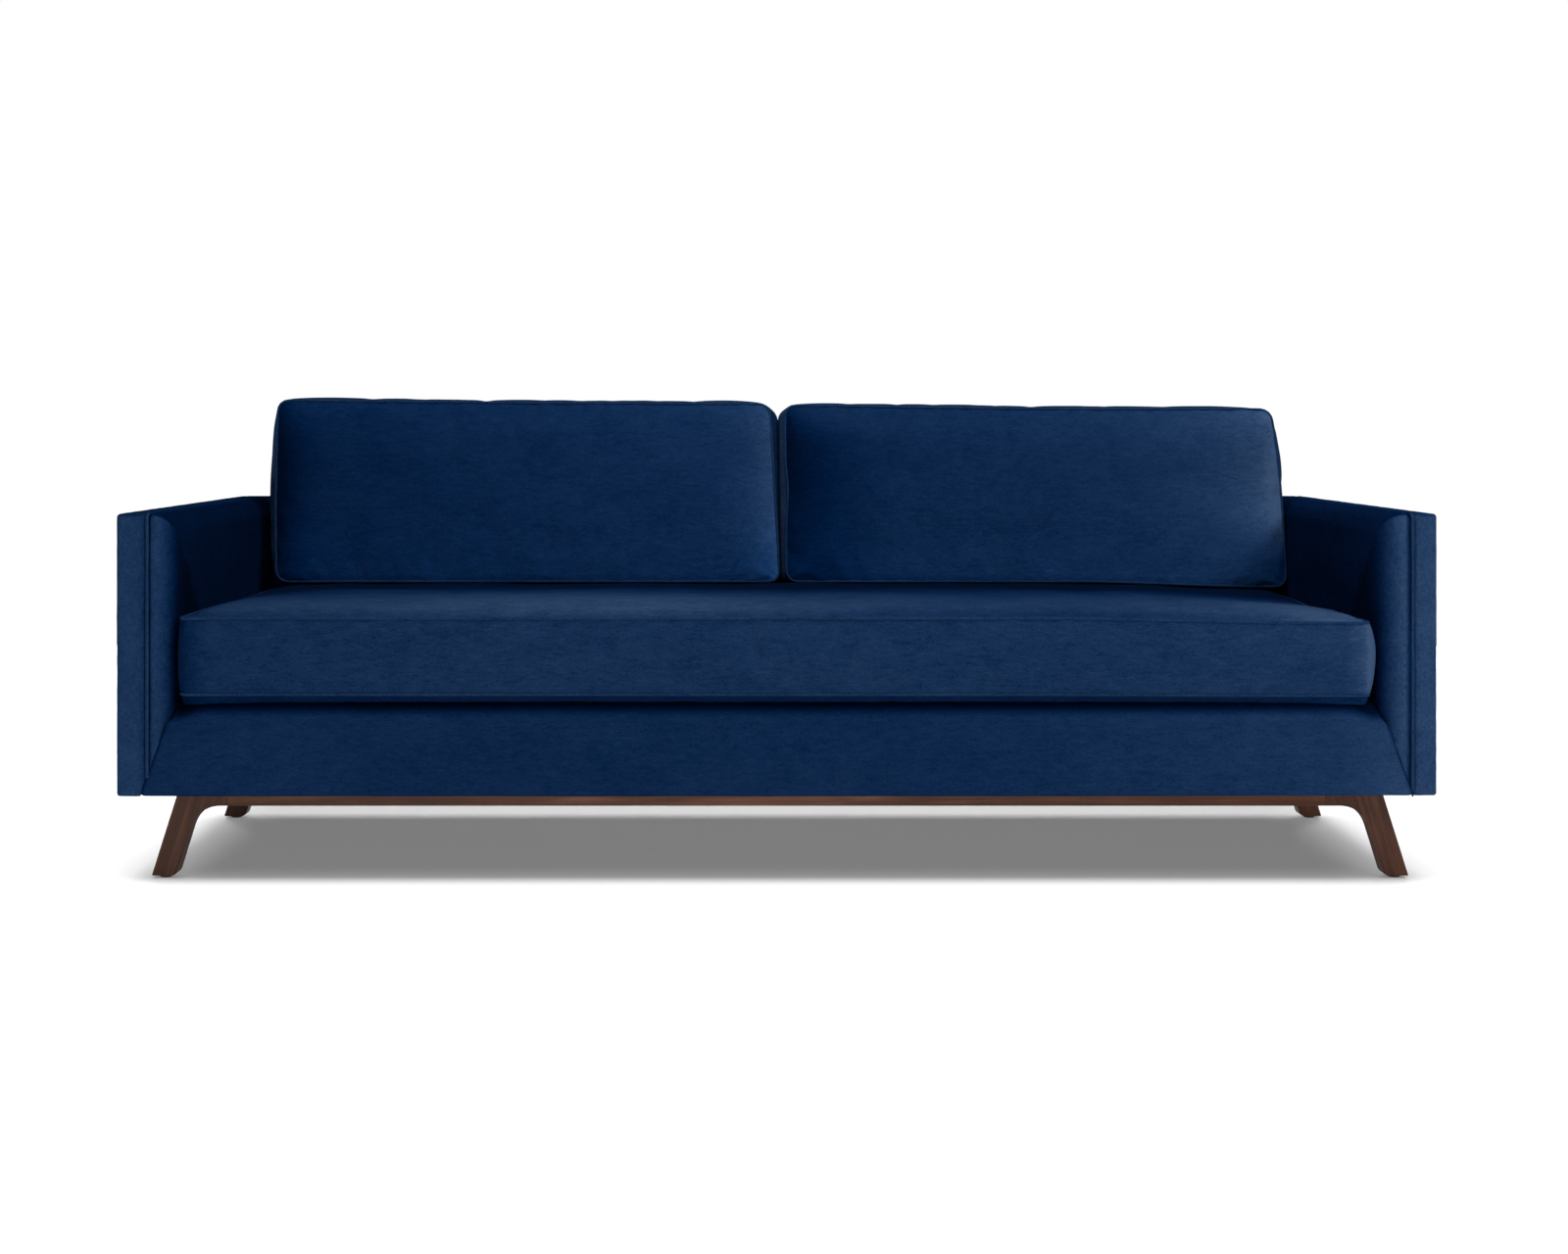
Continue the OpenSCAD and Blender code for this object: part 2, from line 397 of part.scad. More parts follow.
base_front_rail();
base_rear_rail();
base_side_rails();
front_left_leg();
front_right_leg();
rear_left_leg();
rear_right_leg();
base_dowels();
leg_glides();
base_bolts();
tee_nuts();
front_seat_rail();
rear_seat_rail();
base_stretchers();
seat_braces();
corner_blocks();
arm_bottom_rails();
seat_springs();
spring_clips();
spring_tie_wires();
deck_insulator();
deck_pad();
deck_cover();
front_rail_pad();
front_rail_cover();
dust_cover();
arm_front_posts();
arm_rear_posts();
arm_top_rails();
arm_panels();
left_arm_inside_pad();
right_arm_inside_pad();
left_arm_outside_pad();
right_arm_outside_pad();
left_arm_inside_cover();
right_arm_inside_cover();
left_arm_outside_cover();
right_arm_outside_cover();
arm_welts();
back_top_rail();
back_posts();
back_webbing();
back_pad();
back_inside_cover();
back_outside_pad();
back_outside_cover();
back_welt();
seat_cushion_core();
seat_cushion_cover();
seat_cushion_welts();
seat_cushion_zipper();
left_back_cushion_core();
left_back_cushion_cover();
left_back_cushion_welts();
left_back_cushion_zipper();
right_back_cushion_core();
right_back_cushion_cover();
right_back_cushion_welts();
right_back_cushion_zipper();
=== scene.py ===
import json
import math

import bmesh
import bpy
import numpy as np
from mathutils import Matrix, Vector, noise

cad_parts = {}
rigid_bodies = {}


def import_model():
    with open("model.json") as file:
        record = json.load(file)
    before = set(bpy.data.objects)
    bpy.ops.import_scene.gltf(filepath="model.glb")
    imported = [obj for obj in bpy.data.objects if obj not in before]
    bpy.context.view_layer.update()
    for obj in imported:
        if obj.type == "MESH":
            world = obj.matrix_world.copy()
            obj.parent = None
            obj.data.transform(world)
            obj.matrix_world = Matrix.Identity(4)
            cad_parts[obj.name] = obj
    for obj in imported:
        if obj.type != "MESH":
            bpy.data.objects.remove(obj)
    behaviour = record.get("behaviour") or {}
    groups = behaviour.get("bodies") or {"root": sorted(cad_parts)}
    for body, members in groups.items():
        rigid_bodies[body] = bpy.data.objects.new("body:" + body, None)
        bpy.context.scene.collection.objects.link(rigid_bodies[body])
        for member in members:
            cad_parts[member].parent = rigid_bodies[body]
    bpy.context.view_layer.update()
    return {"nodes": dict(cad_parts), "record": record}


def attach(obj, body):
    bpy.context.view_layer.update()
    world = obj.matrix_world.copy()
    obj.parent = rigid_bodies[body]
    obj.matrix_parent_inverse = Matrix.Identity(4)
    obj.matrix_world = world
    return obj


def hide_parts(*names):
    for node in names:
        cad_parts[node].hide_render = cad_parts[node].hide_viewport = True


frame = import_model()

# ------------------------------------------------------------------ sizes, in metres
HW, HD = 1.1175, 0.450          # half width and half depth over the covers
TOP, BOX, DECK = 0.627, 0.153, 0.305
ARM = 0.095                     # arm thickness
IX = HW - ARM                   # inner face of each arm
WELT = {-1: 0.0525, 1: 0.0415}    # welt's distance in from each outer side
LEAN = math.tan(math.radians(7))
SEAT_TOP, SEAT_LOW = 0.449, 0.3205   # seams of the seat cushion
rng = np.random.default_rng(7)


def mitre_z(t):
    """height of the seam between arm front and front rail, at distance t in from the side"""
    return BOX + (t - 0.041) * (0.147 / 0.054)


def back_y(z, off=0.0457):
    return 0.350 + (z - DECK) * LEAN - off / math.cos(math.radians(7))


# ------------------------------------------------------------------ camera first
cam_data = bpy.data.cameras.new("camera")
cam_data.sensor_width = 36.0
cam_data.lens = 2202.8 * 36.0 / 1600.0
cam_data.shift_x = 35.0 / 1600.0
cam_data.shift_y = -208.0 / 1600.0
camera = bpy.data.objects.new("camera", cam_data)
camera.location = (-0.0456, -4.10, 0.780)
camera.rotation_euler = (math.radians(90), 0, 0)
bpy.context.scene.collection.objects.link(camera)
bpy.context.scene.camera = camera


# ------------------------------------------------------------------ mesh helpers
def lines(length, lo=(), hi=(), step=0.012):
    """positions from 0 to length: fine offsets near each end, even steps between"""
    lo = [f for f in (0.0,) + tuple(lo) if f < length * 0.45]
    hi = [f for f in (0.0,) + tuple(hi) if f < length * 0.45]
    a, b = lo[-1], length - hi[-1]
    n = max(1, round((b - a) / step))
    mid = [a + (b - a) * k / n for k in range(1, n)]
    return np.array(lo + mid + [length - f for f in reversed(hi)])


FINE = (0.0015, 0.004, 0.0075, 0.012, 0.018, 0.026)


def smooth(x):
    x = np.clip(x, 0.0, 1.0)
    return x * x * (3 - 2 * x)


def pnoise(P, scale, seed=0.0):
    """gradient noise, about -1 to 1, at points P times scale"""
    s = np.asarray(scale, float)
    out = np.empty(len(P))
    for i, p in enumerate(P * s + seed * 17.31):
        out[i] = noise.noise(Vector(p))
    return out * 1.6


class Net:
    def __init__(self):
        self.v, self.f, self.n = [], [], 0

    def grid(self, P, flip=False):
        P = np.asarray(P, float)
        m, k = P.shape[:2]
        base = self.n
        self.v.append(P.reshape(-1, 3))
        self.n += m * k
        i, j = np.meshgrid(np.arange(m - 1), np.arange(k - 1), indexing="ij")
        a = base + i * k + j
        q = np.stack([a, a + k, a + k + 1, a + 1], -1).reshape(-1, 4)
        if flip:
            q = q[:, ::-1]
        self.f.append(q)
        return base + np.arange(m * k).reshape(m, k)

    def mesh(self, name, merge=2e-5):
        me = bpy.data.meshes.new(name)
        v = np.concatenate(self.v)
        f = np.concatenate(self.f)
        me.from_pydata(v.tolist(), [], f.tolist())
        bm = bmesh.new()
        bm.from_mesh(me)
        bmesh.ops.remove_doubles(bm, verts=bm.verts, dist=merge)
        thin = [e for e in bm.faces if e.calc_area() < 1e-12]
        if thin:
            bmesh.ops.delete(bm, geom=thin, context="FACES_ONLY")
        bmesh.ops.recalc_face_normals(bm, faces=bm.faces)
        bm.to_mesh(me)
        bm.free()
        me.update()
        return me


def coords(me):
    v = np.empty(len(me.vertices) * 3)
    me.vertices.foreach_get("co", v)
    return v.reshape(-1, 3)


def set_coords(me, v):
    me.vertices.foreach_set("co", np.ascontiguousarray(v).reshape(-1))
    me.update()


def normals(me):
    n = np.empty(len(me.vertices) * 3)
    me.vertices.foreach_get("normal", n)
    return n.reshape(-1, 3)


def face_outward(me, centre):
    """flip the mesh if its faces look towards the centre"""
    v, n = coords(me), normals(me)
    if ((v - np.asarray(centre)) * n).sum() < 0:
        bm = bmesh.new()
        bm.from_mesh(me)
        bmesh.ops.reverse_faces(bm, faces=bm.faces)
        bm.to_mesh(me)
        bm.free()
        me.update()


def nap(me, value, name="nap"):
    """per-vertex painted light and shade on the velvet: the main attribute darkens the tone where shade is painted and
    lightens it where light is painted, lift brightens whatever tone is there
    """
    a = me.attributes.get(name) or me.attributes.new(name, "FLOAT", "POINT")
    a.data.foreach_set("value", np.ascontiguousarray(np.broadcast_to(value, len(me.vertices)), dtype=np.float32))


def piece(name, me, mat, body, replaces=(), smooth_faces=True, subsurf=0, solid=0.0):
    for p in me.polygons:
        p.use_smooth = smooth_faces
    ob = bpy.data.objects.new(name, me)
    bpy.context.scene.collection.objects.link(ob)
    me.materials.clear()
    for m in (mat if isinstance(mat, (list, tuple)) else [mat]):
        me.materials.append(m)
    if solid:
        s = ob.modifiers.new("cloth_thickness", "SOLIDIFY")
        s.thickness, s.offset = solid, -1
    if subsurf:
        s = ob.modifiers.new("subdivision", "SUBSURF")
        s.levels = s.render_levels = subsurf
    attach(ob, body)
    if replaces:
        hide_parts(*replaces)
    return ob


def tube(path, r, closed=False, sides=10, wobble=0.0, seed=1.0):
    """a round cord along points, with frames carried along the path"""
    P = np.asarray(path, float)
    n = len(P)
    if closed:
        T = np.roll(P, -1, 0) - np.roll(P, 1, 0)
    else:
        T = np.gradient(P, axis=0)
    T /= np.linalg.norm(T, axis=1)[:, None]
    up = np.array([0.0, 0.0, 1.0]) if abs(T[0][2]) < 0.9 else np.array([1.0, 0.0, 0.0])
    N = np.empty_like(P)
    u = up - T[0] * up.dot(T[0])
    for i in range(n):
        u = u - T[i] * u.dot(T[i])
        u /= np.linalg.norm(u)
        N[i] = u
    if closed:                                  # spread the leftover twist
        last = N[-1] - T[0] * N[-1].dot(T[0])
        last /= np.linalg.norm(last)
        tw = math.atan2(np.cross(last, N[0]).dot(T[0]), last.dot(N[0]))
    else:
        tw = 0.0
    B = np.cross(T, N)
    a = np.linspace(0, 2 * np.pi, sides, endpoint=False)
    rr = np.full(n, r)
    if wobble:
        rr = r * (1 + wobble * pnoise(P, 140.0, seed))
    V = np.empty((n, sides, 3))
    for i in range(n):
        ang = a + tw * i / n
        V[i] = P[i] + rr[i] * (np.cos(ang)[:, None] * N[i] + np.sin(ang)[:, None] * B[i])
    faces = []
    for i in range(n if closed else n - 1):
        k = (i + 1) % n
        for j in range(sides):
            m = (j + 1) % sides
            faces.append((i * sides + j, i * sides + m, k * sides + m, k * sides + j))
    if not closed:
        faces.append(tuple(range(sides))[::-1])
        faces.append(tuple((n - 1) * sides + j for j in range(sides)))
    return V.reshape(-1, 3), faces


def join_tubes(name, parts):
    v, f, base = [], [], 0
    for V, F in parts:
        v.append(V)
        f += [tuple(i + base for i in q) for q in F]
        base += len(V)
    me = bpy.data.meshes.new(name)
    me.from_pydata(np.concatenate(v).tolist(), [], f)
    bm = bmesh.new()
    bm.from_mesh(me)
    bmesh.ops.recalc_face_normals(bm, faces=bm.faces)
    bm.to_mesh(me)
    bm.free()
    me.update()
    return me


# ------------------------------------------------------------------ materials
def new_mat(name):
    m = bpy.data.materials.new(name)
    m.use_nodes = True
    nt = m.node_tree
    nt.nodes.clear()
    out = nt.nodes.new("ShaderNodeOutputMaterial")
    bs = nt.nodes.new("ShaderNodeBsdfPrincipled")
    nt.links.new(bs.outputs[0], out.inputs[0])
    return m, nt, bs


def node(nt, kind, **props):
    n = nt.nodes.new(kind)
    for k, v in props.items():
        if k in n.inputs:
            n.inputs[k].default_value = v
        else:
            setattr(n, k, v)
    return n


def tex(nt, scale=(1, 1, 1), loc=(0, 0, 0), rot=(0, 0, 0)):
    tc = nt.nodes.new("ShaderNodeTexCoord")
    mp = nt.nodes.new("ShaderNodeMapping")
    mp.inputs["Scale"].default_value = scale
    mp.inputs["Location"].default_value = loc
    mp.inputs["Rotation"].default_value = rot
    nt.links.new(tc.outputs["Object"], mp.inputs["Vector"])
    return mp.outputs[0]


def noise_tex(nt, vec, scale=1.0, detail=3.0, rough=0.55, dist=0.0):
    n = nt.nodes.new("ShaderNodeTexNoise")
    n.inputs["Scale"].default_value = scale
    n.inputs["Detail"].default_value = detail
    n.inputs["Roughness"].default_value = rough
    n.inputs["Distortion"].default_value = dist
    nt.links.new(vec, n.inputs["Vector"])
    return n.outputs["Fac"]


def math_node(nt, op, a, b=None, clamp=False):
    n = nt.nodes.new("ShaderNodeMath")
    n.operation = op
    n.use_clamp = clamp
    for i, x in enumerate((a, b)):
        if x is None:
            continue
        if isinstance(x, (int, float)):
            n.inputs[i].default_value = x
        else:
            nt.links.new(x, n.inputs[i])
    return n.outputs[0]


def ramp(nt, fac, stops):
    n = nt.nodes.new("ShaderNodeValToRGB")
    e = n.color_ramp.elements
    while len(e) < len(stops):
        e.new(0.5)
    for el, (p, c) in zip(e, stops):
        el.position = p
        el.color = (*c, 1)
    nt.links.new(fac, n.inputs[0])
    return n.outputs[0]


def velvet(name, lie=(1.0, 1.0, 2.2), seed=0.0, gain=1.0, contrast=1.45, sheen=0.035):
    """navy velvet: cloudy mottling where the pile is brushed, short streaks along the pile's lie, fine pile; the tone
    is then scaled by the mesh's painted light and shade.
    lie stretches the pattern: the pile streaks run along the axis with the smallest number"""
    m, nt, bs = new_mat(name)
    k = Vector(lie)
    cloud = noise_tex(nt, tex(nt, k * 13.0, (seed, 5 + seed, 2)), 1.0, 4.0, 0.55, 0.9)
    broad = noise_tex(nt, tex(nt, k * 3.4, (seed * 2, 1, 6)), 1.0, 2.0, 0.5, 0.4)
    st = noise_tex(nt, tex(nt, (52 * k[0] ** 2, 52 * k[1] ** 2, 52 * k[2] ** 2), (seed * 3.1, seed * 1.7, seed)), 1.0, 4.0, 0.6, 0.7)
    pile = noise_tex(nt, tex(nt, k), 260.0, 3.0, 0.72)
    f = math_node(nt, "MULTIPLY", math_node(nt, "SUBTRACT", st, 0.5), 0.80 * contrast)
    f = math_node(nt, "ADD", f, math_node(nt, "MULTIPLY", math_node(nt, "SUBTRACT", cloud, 0.5), 0.42 * contrast))
    f = math_node(nt, "ADD", f, math_node(nt, "MULTIPLY", math_node(nt, "SUBTRACT", broad, 0.5), 0.32 * contrast))
    f = math_node(nt, "ADD", f, math_node(nt, "MULTIPLY", math_node(nt, "SUBTRACT", pile, 0.5), 1.10 * contrast))
    f = math_node(nt, "ADD", f, 1.0)
    # painted light and shade: the per-vertex attribute scales the velvet's tone, and the lift attribute brightens it
    # further
    at = nt.nodes.new("ShaderNodeAttribute")
    at.attribute_name = "nap"
    f = math_node(nt, "MULTIPLY", f, math_node(nt, "MULTIPLY", at.outputs["Fac"], gain))
    f = math_node(nt, "MULTIPLY", f, 0.4, clamp=True)
    painted_lift = nt.nodes.new("ShaderNodeAttribute")
    painted_lift.attribute_name = "lift"
    col = nt.nodes.new("ShaderNodeVectorMath")
    col.operation = "SCALE"
    nt.links.new(ramp(nt, f, NAVY), col.inputs[0])
    nt.links.new(math_node(nt, "ADD", painted_lift.outputs["Fac"], 1.0), col.inputs["Scale"])
    nt.links.new(col.outputs[0], bs.inputs["Base Color"])
    bs.inputs["Roughness"].default_value = 0.85
    bs.inputs["IOR"].default_value = 1.05
    bs.inputs["Sheen Weight"].default_value = sheen
    bs.inputs["Sheen Roughness"].default_value = 0.38
    bs.inputs["Sheen Tint"].default_value = (0.10, 0.35, 1.0, 1)
    h = math_node(nt, "ADD", math_node(nt, "MULTIPLY", pile, 0.35), math_node(nt, "MULTIPLY", st, 0.8))
    h = math_node(nt, "ADD", h, math_node(nt, "MULTIPLY", cloud, 2.6))
    bump = node(nt, "ShaderNodeBump", Strength=0.5, Distance=0.0007)
    nt.links.new(h, bump.inputs["Height"])
    nt.links.new(bump.outputs[0], bs.inputs["Normal"])
    return m


def wood(name, dark, mid, light, rough=0.5, scale=1.0, rot=(0, 0, 0), length=None):
    """grain runs along the x axis after the rotation; length tints a long rail from its left end to its right"""
    m, nt, bs = new_mat(name)
    turned = tex(nt, rot=rot)

    def stretched(k, shift):
        mp = nt.nodes.new("ShaderNodeMapping")
        mp.inputs["Scale"].default_value = k
        mp.inputs["Location"].default_value = shift
        nt.links.new(turned, mp.inputs["Vector"])
        return mp.outputs[0]

    v = stretched((2.2 * scale, 46 * scale, 46 * scale), (0.3, 0.7, 0.1))
    g = noise_tex(nt, v, 1.0, 6.0, 0.62, 1.3)
    v2 = stretched((7 * scale, 420 * scale, 420 * scale), (1.3, 0.2, 2.1))
    p = noise_tex(nt, v2, 1.0, 3.0, 0.7, 0.2)
    big = noise_tex(nt, tex(nt), 5.0, 2.0, 0.5)
    f = math_node(nt, "ADD", math_node(nt, "MULTIPLY", g, 0.75), math_node(nt, "MULTIPLY", p, 0.22))
    f = math_node(nt, "ADD", f, math_node(nt, "MULTIPLY", math_node(nt, "SUBTRACT", big, 0.5), 0.35), clamp=True)
    col = ramp(nt, f, [(0.28, dark), (0.50, mid), (0.72, light)])
    if length is not None:
        at_x = nt.nodes.new("ShaderNodeSeparateXYZ")
        nt.links.new(tex(nt), at_x.inputs[0])
        along = math_node(nt, "ADD", math_node(nt, "MULTIPLY", at_x.outputs[0], 0.5), 0.5, clamp=True)
        tint = nt.nodes.new("ShaderNodeVectorMath")
        tint.operation = "MULTIPLY"
        nt.links.new(col, tint.inputs[0])
        nt.links.new(ramp(nt, along, [(0.5 + 0.5 * x, c) for x, c in length]), tint.inputs[1])
        col = tint.outputs[0]
    nt.links.new(col, bs.inputs["Base Color"])
    rr = math_node(nt, "ADD", math_node(nt, "MULTIPLY", p, 0.16), rough - 0.08)
    nt.links.new(rr, bs.inputs["Roughness"])
    bs.inputs["Specular IOR Level"].default_value = 0.22
    bump = node(nt, "ShaderNodeBump", Strength=0.25, Distance=0.0004)
    nt.links.new(math_node(nt, "ADD", math_node(nt, "MULTIPLY", p, 0.6), math_node(nt, "MULTIPLY", g, 0.3)), bump.inputs["Height"])
    nt.links.new(bump.outputs[0], bs.inputs["Normal"])
    return m


def cloth_mat(name, dark, light, scale=900.0, rough=0.9, weave=True, sheen=0.0):
    m, nt, bs = new_mat(name)
    big = noise_tex(nt, tex(nt), 18.0, 3.0, 0.6)
    if weave:
        w1 = node(nt, "ShaderNodeTexWave", wave_type="BANDS", bands_direction="X")
        w2 = node(nt, "ShaderNodeTexWave", wave_type="BANDS", bands_direction="Y")
        vec = tex(nt)
        for w in (w1, w2):
            w.inputs["Scale"].default_value = scale * 0.25
            w.inputs["Distortion"].default_value = 0.6
            nt.links.new(vec, w.inputs["Vector"])
        h = math_node(nt, "MAXIMUM", w1.outputs["Fac"], w2.outputs["Fac"])
    else:
        h = noise_tex(nt, tex(nt), scale, 3.0, 0.65)
    f = math_node(nt, "ADD", math_node(nt, "MULTIPLY", h, 0.5), math_node(nt, "MULTIPLY", big, 0.5), clamp=True)
    nt.links.new(ramp(nt, f, [(0.2, dark), (0.8, light)]), bs.inputs["Base Color"])
    bs.inputs["Roughness"].default_value = rough
    bs.inputs["Specular IOR Level"].default_value = 0.2
    bs.inputs["Sheen Weight"].default_value = sheen
    bump = node(nt, "ShaderNodeBump", Strength=0.4, Distance=0.0006)
    nt.links.new(h, bump.inputs["Height"])
    nt.links.new(bump.outputs[0], bs.inputs["Normal"])
    return m


def metal_mat(name, dark, light, rough=0.35):
    m, nt, bs = new_mat(name)
    n = noise_tex(nt, tex(nt), 60.0, 4.0, 0.6)
    nt.links.new(ramp(nt, n, [(0.3, dark), (0.7, light)]), bs.inputs["Base Color"])
    bs.inputs["Metallic"].default_value = 1.0
    nt.links.new(math_node(nt, "ADD", math_node(nt, "MULTIPLY", n, 0.25), rough - 0.12), bs.inputs["Roughness"])
    return m


def plastic_mat(name, dark, light, rough=0.5):
    m, nt, bs = new_mat(name)
    n = noise_tex(nt, tex(nt), 300.0, 3.0, 0.6)
    nt.links.new(ramp(nt, n, [(0.3, dark), (0.7, light)]), bs.inputs["Base Color"])
    bs.inputs["Roughness"].default_value = rough
    bump = node(nt, "ShaderNodeBump", Strength=0.15, Distance=0.0003)
    nt.links.new(n, bump.inputs["Height"])
    nt.links.new(bump.outputs[0], bs.inputs["Normal"])
    return m


BRIGHT = 1.0
# velvet colours along the painted light and shade level: the low stops are the velvet's colour in painted shade, the
# high stops its colour in painted light
NAVY = [(p / 2.5, tuple(BRIGHT * x for x in c)) for p, c in (
    (0.00, (0.0000, 0.0007, 0.0034)), (0.15, (0.0001, 0.0041, 0.0178)), (0.30, (0.0003, 0.0083, 0.0365)),
    (0.60, (0.0034, 0.0168, 0.0565)), (1.00, (0.0088, 0.0280, 0.0780)), (1.50, (0.0172, 0.0425, 0.1020)),
    (2.50, (0.0380, 0.0720, 0.1460)))]
M_SEAT = velvet("velvet_seat", (1.0, 1.6, 2.0), 1.0)
M_BACK_L = velvet("velvet_back_left", (1.0, 1.5, 1.8), 2.0, contrast=1.15)
M_BACK_R = velvet("velvet_back_right", (1.0, 1.5, 1.8), 3.0, contrast=1.15)
M_RAIL = velvet("velvet_rail", (1.0, 1.6, 2.0), 4.0, contrast=1.20)
M_ARM_L = velvet("velvet_arm_left", (2.0, 1.0, 1.6), 5.0, sheen=0.016)
M_ARM_R = velvet("velvet_arm_right", (2.0, 1.0, 1.6), 6.0, sheen=0.018)
M_BACK = velvet("velvet_frame_back", (1.0, 1.6, 1.8), 7.0)
M_WELT = velvet("velvet_welt", (2.0, 2.0, 2.0), 8.0, 1.0)

WALNUT = ((0.0200, 0.0070, 0.0037), (0.0560, 0.0238, 0.0142), (0.1150, 0.0555, 0.0350))
splay = math.radians(17.3)


# scales the walnut colours per part, partly the wood's own tone and partly painted light: the right legs are painted
# lighter than the left, where the light from the right falls, and the front rail much lighter than the legs and side
# rails
def walnut_tone_and_light(r, g, b):
    return [tuple(k * x for k, x in zip((r, g, b), c)) for c in WALNUT]


M_WOOD_X = wood("walnut_rail", *walnut_tone_and_light(2.18, 2.05, 1.86), length=(
    (-0.92, (0.52, 0.48, 0.40)), (-0.60, (0.84, 0.86, 0.90)), (-0.15, (1.0, 1.0, 1.0)), (0.30, (0.80, 0.80, 0.80)), (0.90, (0.62, 0.50, 0.36))))
M_WOOD_Y = wood("walnut_side_rail", *walnut_tone_and_light(1.0, 0.86, 0.80), rot=(0, 0, math.radians(90)))
M_WOOD_L = wood("walnut_leg_left", *walnut_tone_and_light(0.94, 0.77, 0.66), rot=(0, math.radians(90) - splay, 0))
M_WOOD_R = wood("walnut_leg_right", *walnut_tone_and_light(1.12, 0.89, 0.69), rot=(0, math.radians(90) + splay, 0))
M_PINE = wood("pine", (0.42, 0.27, 0.13), (0.60, 0.43, 0.24), (0.72, 0.56, 0.36), rough=0.6)
M_PLY = wood("plywood", (0.36, 0.22, 0.11), (0.50, 0.34, 0.18), (0.60, 0.43, 0.25), rough=0.6, rot=(0, math.radians(90), 0))
M_SPRING = metal_mat("spring_steel", (0.16, 0.16, 0.165), (0.34, 0.34, 0.35), 0.4)
M_ZINC = metal_mat("zinc_steel", (0.42, 0.43, 0.45), (0.62, 0.63, 0.64), 0.35)
M_NYLON = plastic_mat("nylon_glide", (0.030, 0.029, 0.028), (0.055, 0.053, 0.050), 0.45)
M_FELT = cloth_mat("insulator_felt", (0.20, 0.18, 0.16), (0.42, 0.39, 0.35), 240.0, weave=False)
M_BATT = cloth_mat("batting", (0.74, 0.73, 0.70), (0.90, 0.89, 0.86), 160.0, weave=False, sheen=0.3)
M_CAMBRIC = cloth_mat("cambric", (0.010, 0.010, 0.011), (0.028, 0.028, 0.030), 1500.0)
M_JUTE = cloth_mat("jute", (0.26, 0.19, 0.09), (0.50, 0.39, 0.22), 500.0)
M_TAPE = cloth_mat("zip_tape", (0.004, 0.007, 0.014), (0.012, 0.018, 0.034), 1400.0)
M_FOAM = cloth_mat("foam", (0.70, 0.62, 0.40), (0.86, 0.80, 0.60), 220.0, weave=False)

slot_mat = {"pine": M_PINE, "beech": M_PINE, "plywood": M_PLY, "spring_steel": M_SPRING, "zinc_steel": M_ZINC,
            "nylon": M_NYLON, "felt": M_FELT, "batting": M_BATT, "cambric": M_CAMBRIC, "jute": M_JUTE,
            "zip_tape": M_TAPE, "foam": M_FOAM, "velvet": M_BACK, "walnut": M_WOOD_X}
slots = {s["node"]: s["material_slot"] for s in frame["record"]["subparts"]}
for name, ob in frame["nodes"].items():
    mat = slot_mat[slots[name]]
    if name == "base_side_rails":
        mat = M_WOOD_Y
    elif name.endswith("left_leg"):
        mat = M_WOOD_L
    elif name.endswith("right_leg"):
        mat = M_WOOD_R
    if not ob.material_slots:
        ob.data.materials.append(mat)
    for s in ob.material_slots:
        s.material = mat
for name in ("base_front_rail", "base_rear_rail", "base_side_rails", "front_left_leg", "front_right_leg", "rear_left_leg", "rear_right_leg"):
    b = frame["nodes"][name].modifiers.new("eased_edges", "BEVEL")
    b.width, b.segments, b.limit_method, b.angle_limit = 0.0014, 2, "ANGLE", math.radians(50)
    b.use_clamp_overlap = True


# ------------------------------------------------------------------ arms
def rounded_box(P, r=0.0072):
    """eases the sharp edges of the sofa's outer box; returns the points and outward directions"""
    P = np.asarray(P, float)
    c = P.copy()
    c[..., 0] = np.clip(P[..., 0], -(HW - r), HW - r)
    c[..., 1] = np.clip(P[..., 1], -(HD - r), HD - r)
    c[..., 2] = np.minimum(P[..., 2], TOP - r)
    d = P - c
    n = np.linalg.norm(d, axis=-1, keepdims=True)
    N = d / np.maximum(n, 1e-9)
    return c + N * r, N


HEM = [(0.0, 0.0150), (0.0, 0.0098), (0.0, 0.0062), (0.0004, 0.0034), (0.0016, 0.0010), (0.0042, 0.0)]   # height above the bottom, distance turned under


def hang(h, u, x):
    """how far the padded hem hangs below the frame"""
    return (0.0049 - 0.0013 * smooth((x - 0.3) / 0.8)) * smooth((0.0098 - u) / 0.0034) * (1 - smooth(h / 0.022))


def pinch(d, depth=0.0022, width=0.0035):
    return depth * np.exp(-(d / width) ** 2)


